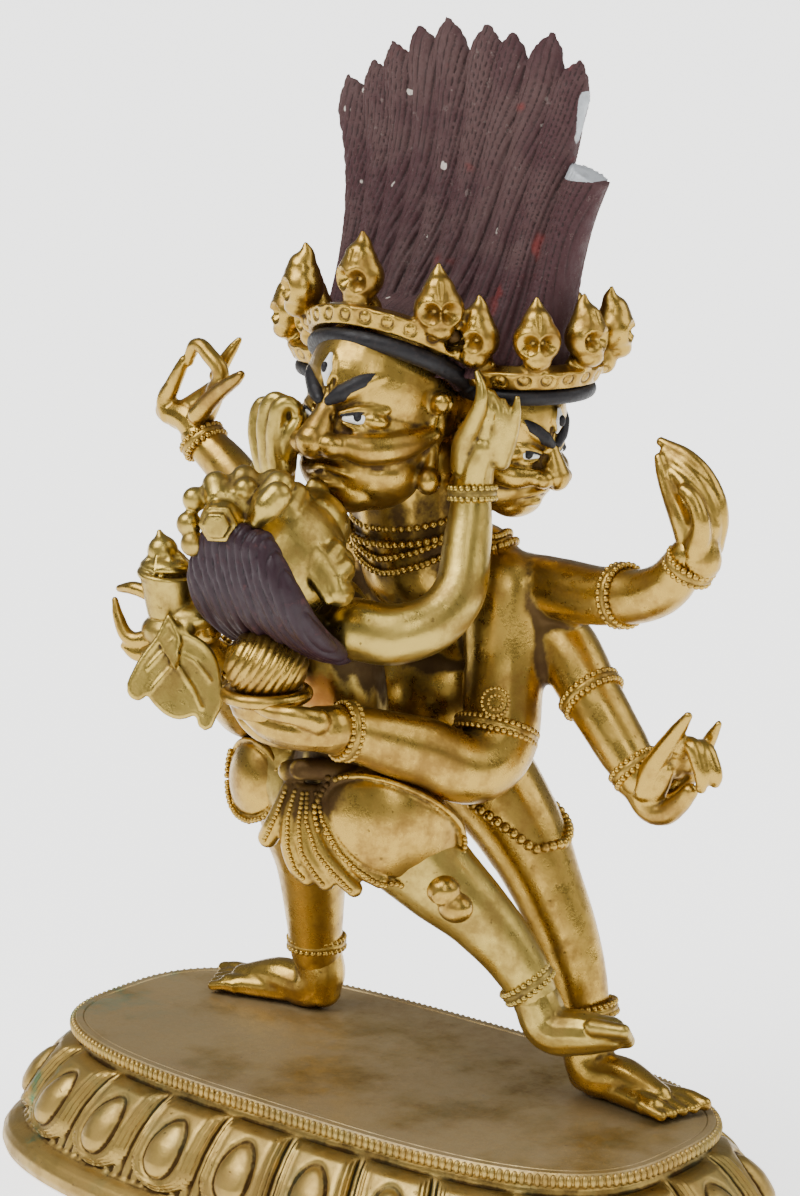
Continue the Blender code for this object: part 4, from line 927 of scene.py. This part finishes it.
hand([
    [(-3.6, -18.6, 89.4, 2.9), (-3.3, -18.6, 92.3, 2.9)],
    [(-3.9, -19.6, 90.6, 1.8), (-5.4, -19.6, 93.8, 1.5), (-6.1, -19.4, 96.8, 1.3), (-5.5, -19, 99.5, 1.15),
     (-4.2, -18.8, 100, 0.8)],
    [(-2.5, -20, 91.2, 1.9), (-3.2, -20.4, 94.5, 1.5), (-3.5, -20.4, 97.8, 1.3), (-2.5, -20, 100.6, 1.2),
     (-0.9, -19.6, 100.6, 1)],
    [(-1.3, -20, 91.3, 1.9), (-1.3, -20.6, 94.4, 1.6), (-1.1, -20.8, 97.6, 1.4), (0, -20.4, 100.4, 1.2),
     (1.1, -19.6, 99.9, 1), (1.3, -19.4, 97.9, 0.8)],
    [(-1.5, -19, 91.4, 1.8), (-0.2, -19.8, 93.9, 1.6), (0.9, -20, 96.3, 1.4), (1.3, -19, 98.4, 1.2),
     (0.4, -18.6, 99.9, 0.9)],
])
her_hands = fuse("consort_hands_and_foot", 0.22, 2, 8)
place_on(her_hands, pale_gilt, "pale_gilt")


# Her head is thrown back, so that her face looks up at his: a gilt crown with lobes and round knobs, a cut
# jewel at the back, and long hair that hangs in painted locks.

JEWEL = (3.2, -36.6, 87)
back_turn = Matrix.Rotation(math.radians(128), 4, "X")
ball((MIDDLE, -27, 81), (8, 8.6, 9.2), back_turn)
ball((MIDDLE, -22, 84.6), (6, 5.4, 5), back_turn)
ball((MIDDLE, -20.2, 89), (1.5, 2.2, 1.6), back_turn)
for side in (-1, 1):
    ball((MIDDLE + side * 3, -23.5, 88), (1.6, 1, 1))
    ball((MIDDLE + side * 8, -24.5, 80.5), (1.4, 2.4, 2.4))
CROWN_EDGE = [(0.2, -34.4, 91.2), (2.6, -31.4, 91.9), (5, -28.4, 91.2), (7, -26.2, 89.4), (8.6, -25.8, 86.6),
              (10.6, -25.8, 84.1), (12.9, -25.4, 82.3), (14.6, -25.6, 80.2), (15.3, -26.6, 77.4)]
CROWN_FOOT = [(2.6, -35.8, 87.6), (4.4, -34.7, 87.1), (6.6, -32.8, 86.9), (8.7, -31.6, 85.2),
              (10.4, -30.9, 83.2), (12, -30.2, 81), (13.4, -29.5, 79.3), (14.4, -29.1, 78), (15.1, -28.8, 77)]
stations = np.linspace(0, len(CROWN_EDGE) - 1, 25)
edge, root = (
    np.array([[np.interp(spot, range(len(line)), column) for column in zip(*line)] for spot in stations])
    for line in (CROWN_EDGE, CROWN_FOOT)
)
for mirror in (False, True):
    for index, (top, low) in enumerate(zip(edge.copy(), root.copy())):
        if mirror:
            top[0], low[0] = 2 * MIDDLE - top[0], 2 * MIDDLE - low[0]
        lobed = 0.5 * math.cos(index * math.tau / 3)
        between = top * 0.5 + low * 0.5 + (0.3, -0.3, 0.3)
        limb([(*top, 1.5 + lobed), (*between, 2), (*low, 1)], sides=4, fine=4)
for knob in ((-1.7, -36.6, 89.4), (-1.9, -37.6, 86.2), (-1, -37.8, 83.6), (1, -34.6, 91), (4.6, -33.4, 91)):
    ball(knob, (1.75, 1.75, 1.75), fine=18)
ball(JEWEL, (3, 3, 3))
view = Vector((0.50, -0.85, 0.05))
for radius, reach in ((2.7, 1.6), (1.9, 2.9)):
    bpy.ops.mesh.primitive_cylinder_add(
        vertices=6, radius=radius * MM, depth=2.2 * MM, location=here(Vector(JEWEL) + view * reach),
        rotation=view.to_track_quat("Z", "X").to_euler())
    keep(bpy.context.object)
crown = fuse("consort_head_and_crown", 0.26, 2, 8)
place_on(crown, pale_gilt, "pale_gilt")

for index in range(7):
    offset = (index - 3) * 2.5
    wave = 0.5 * math.sin(index * 2.1)
    limb([(MIDDLE + offset * 0.5, -36.2, 84.4 + wave, 2.3), (MIDDLE + offset * 0.95, -35.2, 78.4, 2.3),
          (MIDDLE + offset * 1.05 + wave, -31, 72.4, 2), (MIDDLE + offset * 0.9 + 0.6, -25, 68.4, 1.5),
          (MIDDLE + offset * 0.45 + 1.6, -19.5, 66.6, 0.8)])
locks = fuse("consort_hair", 0.24, 2, 0)
co = points_of(locks)
across = (co[:, 0] / MM - MIDDLE) * 2.3 + 0.8 * np.sin(co[:, 2] / MM * 0.5)
move_points(locks, co + normals_of(locks) * ((np.abs(np.sin(across)) ** 0.6 - 0.6) * 0.4 * MM)[:, None])
mark_hollows(locks, 6)
her_hair_paint = Finish("her_hair_paint")
hollow = her_hair_paint.attribute("hollow")
streak = her_hair_paint.noise(600, 5, 0.7)
colour = her_hair_paint.mix(streak.band(0.56, 0.74) * 0.6, (0.018, 0.006, 0.010), (0.085, 0.030, 0.028))
# Painted shade: the locks go near black in the hollows between them
her_hair_paint.set(
    Base_Color=her_hair_paint.mix(hollow.band(0.02, 0.2), colour, (0.004, 0.003, 0.004)),
    Specular_IOR_Level=0.25, Roughness=streak.band(0.3, 0.7, 0.35, 0.6),
    Normal=her_hair_paint.bump(streak, 0.3, 0.0003),
)
place_on(locks, her_hair_paint, "hair_paint")


# What the deity holds at her back: a skull cup with combed hair in the left hand, and in the right a lotus
# with a bud above its ring and a broad veined leaf below.

CUP = (5.4, -30.5, 66.6)
ball(CUP, (5.7, 5.7, 5))
cup = fuse("skull_cup_dome", 0.2, 2, 0)
co = points_of(cup)
normals = normals_of(cup)
side = (co - np.array(here(CUP))) / MM @ (0.66, 0.56, -0.5)
comb = np.abs(np.sin(side * 3)) ** 0.6
move_points(cup, co + normals * ((comb - 0.6) * 0.32 * MM)[:, None])
mark_hollows(cup, 5)
place_on(cup, gilt, "gilt_bronze")
bpy.ops.mesh.primitive_cone_add(
    vertices=64, radius1=4.6 * MM, radius2=5.5 * MM, depth=3.4 * MM, location=here((*CUP[:2], 61.4)))
keep(bpy.context.object)
loop((*CUP[:2], 62.6), (0, 0, 1), 5.4, 1)
cup_wall = fuse("skull_cup_bowl", 0.22, 3, 8)
place_on(cup_wall, gilt, "gilt_bronze")

LOTUS = (-10.2, -33)
loop((*LOTUS, 69.6), (-0.30, -0.75, 0.60), 4.3, 1.5)
ball((*LOTUS, 69.4), (4.3, 3.6, 2.6))
ball((-8.4, -31.6, 71.6), (4.8, 3.6, 2.2))
bpy.ops.mesh.primitive_cone_add(
    vertices=48, radius1=3 * MM, radius2=4 * MM, depth=5.6 * MM, location=here((*LOTUS, 74.4)))
keep(bpy.context.object)
loop((-10.5, -33, 77.3), (0.12, 0, 1), 3.7, 0.55)
ball((-10.9, -33, 78.4), (3.7, 3.3, 1.5))
for turned in (0.35, 1.13):
    bpy.ops.mesh.primitive_cone_add(
        vertices=4, radius1=3.9 * MM, radius2=1.2 * MM, depth=3.6 * MM, location=here((-11.2, -33, 80)),
        rotation=(0, -0.12, turned))
    keep(bpy.context.object)
limb([(-11.3, -33, 80.4, 2.2), (-11.6, -33, 81.9, 1.2), (-11.9, -33, 83, 0.4)])
# The leaf below the ring: a sheet with two pointed lobes, its rim, its midrib and its veins raised
LEAF_EDGE = [
    (-7.3, -36.1, 72.2), (-8, -37.6, 69.3), (-9, -39.1, 67.1), (-9.6, -40.3, 65), (-9.8, -41.2, 62.5),
    (-8.9, -40.7, 61.7), (-8.2, -39.9, 62.4), (-6.8, -39.1, 60.9), (-5.5, -38.4, 59.7), (-4.2, -37.5, 59.2),
    (-2.5, -35.9, 59.6), (-1.4, -35.5, 57.7), (-0.8, -34.5, 59.3), (-0.4, -33.7, 61), (-0.7, -33.4, 62.9),
    (-1.7, -33.2, 66.3), (-2.8, -33.6, 68.2), (-4.1, -34.4, 69.3), (-5.8, -35.4, 70.3),
]
LEAF_MIDDLE = (-5, -37.4, 65.4)
bpy.ops.mesh.primitive_circle_add(vertices=len(LEAF_EDGE), radius=MM, fill_type="TRIFAN")
sheet = bpy.context.object
move_points(sheet, np.array([here(point) for point in (*LEAF_EDGE, LEAF_MIDDLE)]))
apply(sheet, "SOLIDIFY", thickness=MM, offset=0)
keep(sheet)
limb([(*point, 0.55) for point in [*LEAF_EDGE, LEAF_EDGE[0]]], sides=3, fine=3)
lotus = fuse("lotus_attribute", 0.22, 2, 0)
for vein in (
    [(-7.1, -36.1, 71.8), (-5.7, -35.9, 69.5), (-4.9, -36.4, 67.7), (-6, -37.6, 65.5), (-7.6, -39.5, 62.6)],
    [(-4.9, -36.4, 67.7), (-3.4, -35.2, 66.6), (-1.6, -34.2, 64)],
    [(-6.2, -36.4, 69.3), (-8.5, -39.2, 65.5)], [(-5.4, -36.9, 66.4), (-3.2, -36, 63), (-2, -35.6, 60.4)],
):
    scribe(lotus, vein, -0.4, 0.35)
mark_hollows(lotus, 8)
place_on(lotus, pale_gilt, "pale_gilt")


# Her hip cloth, of gilt bronze: a scooped leaf with a beaded hem over each hip, beaded sashes that hang
# between them from a belt, and a tassel.

def leaf(centre, normal, down, width, height, wrap):
    """A pillowed oval leaf that turns out at its lip. It returns points along its lower edge."""
    out = Vector(normal).normalized()
    low = (Vector(down) - out * Vector(down).dot(out)).normalized()
    side = low.cross(out)
    bpy.ops.mesh.primitive_uv_sphere_add(segments=72, ring_count=48, radius=1)
    dish = bpy.context.object
    co = points_of(dish)
    reach = np.hypot(co[:, 0], co[:, 1])
    front = 2.2 * (1 - reach ** 2) - 0.4 * np.exp(-((reach - 0.88) / 0.04) ** 2) + 0.5 * (reach > 0.92)
    rise = np.where(co[:, 2] > 0, front, -2.2) - wrap * (co[:, 0] * width) ** 2
    spot = np.array(centre)[None] + co[:, :1] * width * np.array(side) + co[:, 1:2] * height * np.array(low)
    spot = spot + rise[:, None] * np.array(out)
    spot[:, 2] += PLATE
    move_points(dish, spot * MM)
    keep(dish)
    edge = []
    for degrees in range(-30, 211, 3):
        along, drop = math.cos(math.radians(degrees)) * width, math.sin(math.radians(degrees)) * height
        edge.append(Vector(centre) + side * along + low * drop + out * (1.8 - wrap * along ** 2))
    return edge


near_edge = leaf((17.4, -18, 42.3), (0.70, -0.70, -0.10), (-0.22, -0.44, -0.87), 11.4, 7.2, 0.035)
far_edge = leaf((-9, -18.2, 45.2), (-0.20, -0.97, 0.10), (0, 0, -1), 6.6, 6, 0.03)
FOLDS = [
    [(3.7, -24.4, 47.5), (2.9, -25.2, 44.2), (2, -25.6, 41.9), (1, -25.6, 40.3)],
    [(5.1, -23.9, 47.8), (4.7, -24.8, 44.2), (5, -25.2, 40.1), (6.1, -25, 37), (7.2, -24.3, 35.4)],
    [(6, -23.3, 47.5), (6.2, -24.3, 43.5), (7, -24.6, 39.5), (8.4, -24, 37), (9.6, -23.2, 34.9)],
    [(6.6, -22.8, 47.5), (7, -23.6, 43.8), (8.7, -23.4, 39.5), (10.7, -22.4, 36.8), (12.8, -21, 34.1)],
    [(7.5, -22, 47.5), (8.7, -22.2, 43.8), (11.2, -21.3, 39.5), (13.5, -20.1, 37), (15.6, -18.8, 35.4)],
]
for fold in FOLDS:
    limb([(*point, radius) for point, radius in zip(fold, (1, 1.4, 1.6, 1.5, 1.2))])
limb([(3.6, -24.2, 50, 1.5), (6.4, -23.2, 50.6, 1.6), (10, -19.6, 50, 1.5), (13, -15.4, 48.4, 1.4)])
loop((6.2, -24.6, 50.8), (0.6, -0.8, 0), 1.1, 0.45, 24)
ball((22, -12.9, 33.9), (2.5, 2.3, 2.2))
ball((23.4, -11.9, 31.4), (2.6, 2.3, 2.2))
loop((22.9, -14.6, 33.4), (0.6, -0.8, 0), 0.9, 0.3, 20)
cloth = fuse("consort_hip_cloth", 0.24, 2, 8)
place_on(cloth, gilt, "gilt_bronze")


# The strings of beads: bracelets and anklets in double rows on a plain band, necklaces, hems and a string
# round the deity's thigh. They are gilt bronze, modelled in the wax and cast with the figures.

def string(centre, along, radius, size):
    """A ring of beads round an axis."""
    turn = Vector(along).to_track_quat("Z", "X").to_matrix()
    count = max(8, round(math.tau * radius / (size * 1.9)))
    for index in range(count):
        angle = index * math.tau / count
        spoke = turn @ Vector((math.cos(angle) * radius, math.sin(angle) * radius, 0))
        bead_spots.append(Matrix.Translation(here(Vector(centre) + spoke)) @ Matrix.Scale(size * MM, 4))


def bracelet(centre, along, radius, size=0.48):
    """Two rows of small beads, half sunk in the arm's own band."""
    step = Vector(along).normalized() * size * 1.5
    loop(centre, along, radius - 0.5, size * 1.6)
    for side in (-1, 1):
        string(Vector(centre) + step * side, along, radius - 0.1, size)


def bead_line(piece, route, size, gap=1.8):
    """Beads along a route, each set on the nearest point of a piece."""
    ends = [Vector(point) for point in route]
    walked = np.concatenate([[0], np.cumsum([(b - a).length for a, b in zip(ends, ends[1:])])])
    for far in np.arange(0, walked[-1], size * gap):
        point = [np.interp(far, walked, [end[k] for end in ends]) for k in range(3)]
        found, spot, normal, _ = piece.closest_point_on_mesh(here(point))
        if found:
            bead_spots.append(
                Matrix.Translation(spot + normal * size * 0.35 * MM) @ Matrix.Scale(size * MM, 4))


def finish_strings(owner, finish, slot):
    """Joins the beads placed so far, and the bands under them, into the owner's two pieces."""
    beads = rows_of(owner + "_bead_strings", one_bead(), bead_spots)
    bead_spots.clear()
    mark_hollows(beads, 3)
    place_on(beads, finish, slot)
    cuffs = merge(owner + "_bracelet_bands", list(lumps))
    lumps.clear()
    note(cuffs, "hollow", np.full(len(cuffs.data.vertices), 0.06))
    place_on(cuffs, finish, slot)


bead_spots = []
for centre, along, radius in (
    ((-23, 11.4, 10.6), (0, 0, 1), 4.3),
    ((29.6, 10.2, 12), (-0.2, 0, 1), 4.4),
    ((22.6, -2.2, 54.4), (0.1, -0.5, -0.9), 5.8),
    ((14.2, -24.4, 57.6), (-0.4, -0.9, 0.2), 4),
    ((-9.8, -25, 63.4), (0.2, -0.7, 0.65), 3.9),
    ((39.6, 4, 75.2), (1, -0.1, 0.15), 4.3),
    ((51, 3.3, 81), (0.5, 0, 0.8), 3.4),
    ((33.2, 5.6, 60), (0.75, -0.1, -0.65), 4.5),
    ((42, 4.2, 51.2), (0.72, 0, -0.7), 3.6),
    ((-24, 4, 75.6), (-0.9, 0, 0.3), 4.2),
    ((-38.4, 4, 87.3), (-0.7, 0, 0.7), 3.4),
):
    bracelet(centre, along, radius)
for height, radius in ((84.2, 9.2), (82.2, 9.8)):
    string((MIDDLE, 0.9, height), (0, -0.25, 1), radius, 0.6)
for drop in (0, 2.4):
    bead_line(body, [
        (MIDDLE - 14, 3, 82 - drop), (MIDDLE - 10, -5, 80 - drop), (MIDDLE, -9, 77 - drop),
        (MIDDLE + 10, -5, 80 - drop), (MIDDLE + 14, 3, 82 - drop), (MIDDLE + 12, 11, 82 - drop),
        (MIDDLE, 14, 82 - drop), (MIDDLE - 12, 11, 82 - drop), (MIDDLE - 14, 3, 82 - drop),
    ], 0.6)
bead_line(body, [(13.6, -2, 44.2), (16.7, 0.6, 42.1), (20.9, 1.2, 39.5), (25.8, 3, 36.6), (28.4, 9, 37.2),
                 (25, 15, 39), (18, 16, 41)], 0.8)
for centre, radius in (((26.6, -7.4, 60.4), 1.9), ((26.8, -7.6, 60.4), 1)):
    string(centre, (0.78, -0.60, 0.15), radius, 0.3)
bead_line(cloth, near_edge, 0.45)
bead_line(cloth, far_edge, 0.45)
for fold in FOLDS:
    bead_line(cloth, [Vector(point) + Vector((0.6, -1.6, 0)) for point in fold], 0.36)
finish_strings("deity", gilt, "gilt_bronze")

bracelet((20.6, -5.2, 88.4), (-0.1, 0.1, 1), 3.2)
bracelet((-5.4, -18.5, 88.6), (0.2, 0, 1), 3.2)
bracelet((28.4, -2, 18.8), (0.5, 0.3, -0.8), 3.9)
finish_strings("consort", pale_gilt, "pale_gilt")


# The photographer's table: a flat pale floor, soft light from both sides and above, and a camera that looks
# down a little from the deity's left front.

bpy.ops.object.select_all(action="DESELECT")
bpy.ops.mesh.primitive_plane_add(size=24, location=(0, 0, -0.0002))
floor = bpy.context.object
floor.name = "floor"
pale = Finish("pale_floor").set(
    Base_Color=(0.90, 0.90, 0.89), Roughness=0.9, Emission_Color=(1, 1, 0.99), Emission_Strength=1.7,
)
floor.data.materials.append(pale.material)

world = bpy.data.worlds.new("studio")
bpy.context.scene.world = world
world.use_nodes = True
glow = world.node_tree.nodes["Background"].inputs
glow["Color"].default_value = (1, 1, 1, 1)
glow["Strength"].default_value = 0.28

TARGET = Vector((3.3, 0, 90.5)) * MM


def towards(azimuth, elevation):
    """The way out from the group, in degrees from its front and from the level."""
    turn, lift = math.radians(azimuth), math.radians(elevation)
    return Vector((math.sin(turn) * math.cos(lift), -math.cos(turn) * math.cos(lift), math.sin(lift)))


def lamp(kind, name, away, distance, power):
    """A light that shines at the middle of the group."""
    bpy.ops.object.light_add(type=kind, location=TARGET + away * distance)
    light = bpy.context.object
    light.name = name
    light.data.energy = power
    light.rotation_euler = away.to_track_quat("Z", "Y").to_euler()
    return light.data


lamp("SUN", "key_light", towards(-25, 55), 1, 3.6).angle = math.radians(45)
lamp("SUN", "right_light", towards(125, 38), 1, 1.3).angle = math.radians(45)
front = lamp("AREA", "front_light", towards(45, 35), 0.8, 1.5)
front.shape = "RECTANGLE"
front.size, front.size_y = 0.25, 0.5

back = towards(40.2, 12.9)
bpy.ops.object.camera_add(location=TARGET + back * 0.5)
camera = bpy.context.object
camera.rotation_euler = back.to_track_quat("Z", "Y").to_euler()
camera.data.sensor_fit = "VERTICAL"
camera.data.sensor_height = 36
camera.data.lens = 106.1
camera.data.clip_start = 0.01
bpy.context.scene.camera = camera
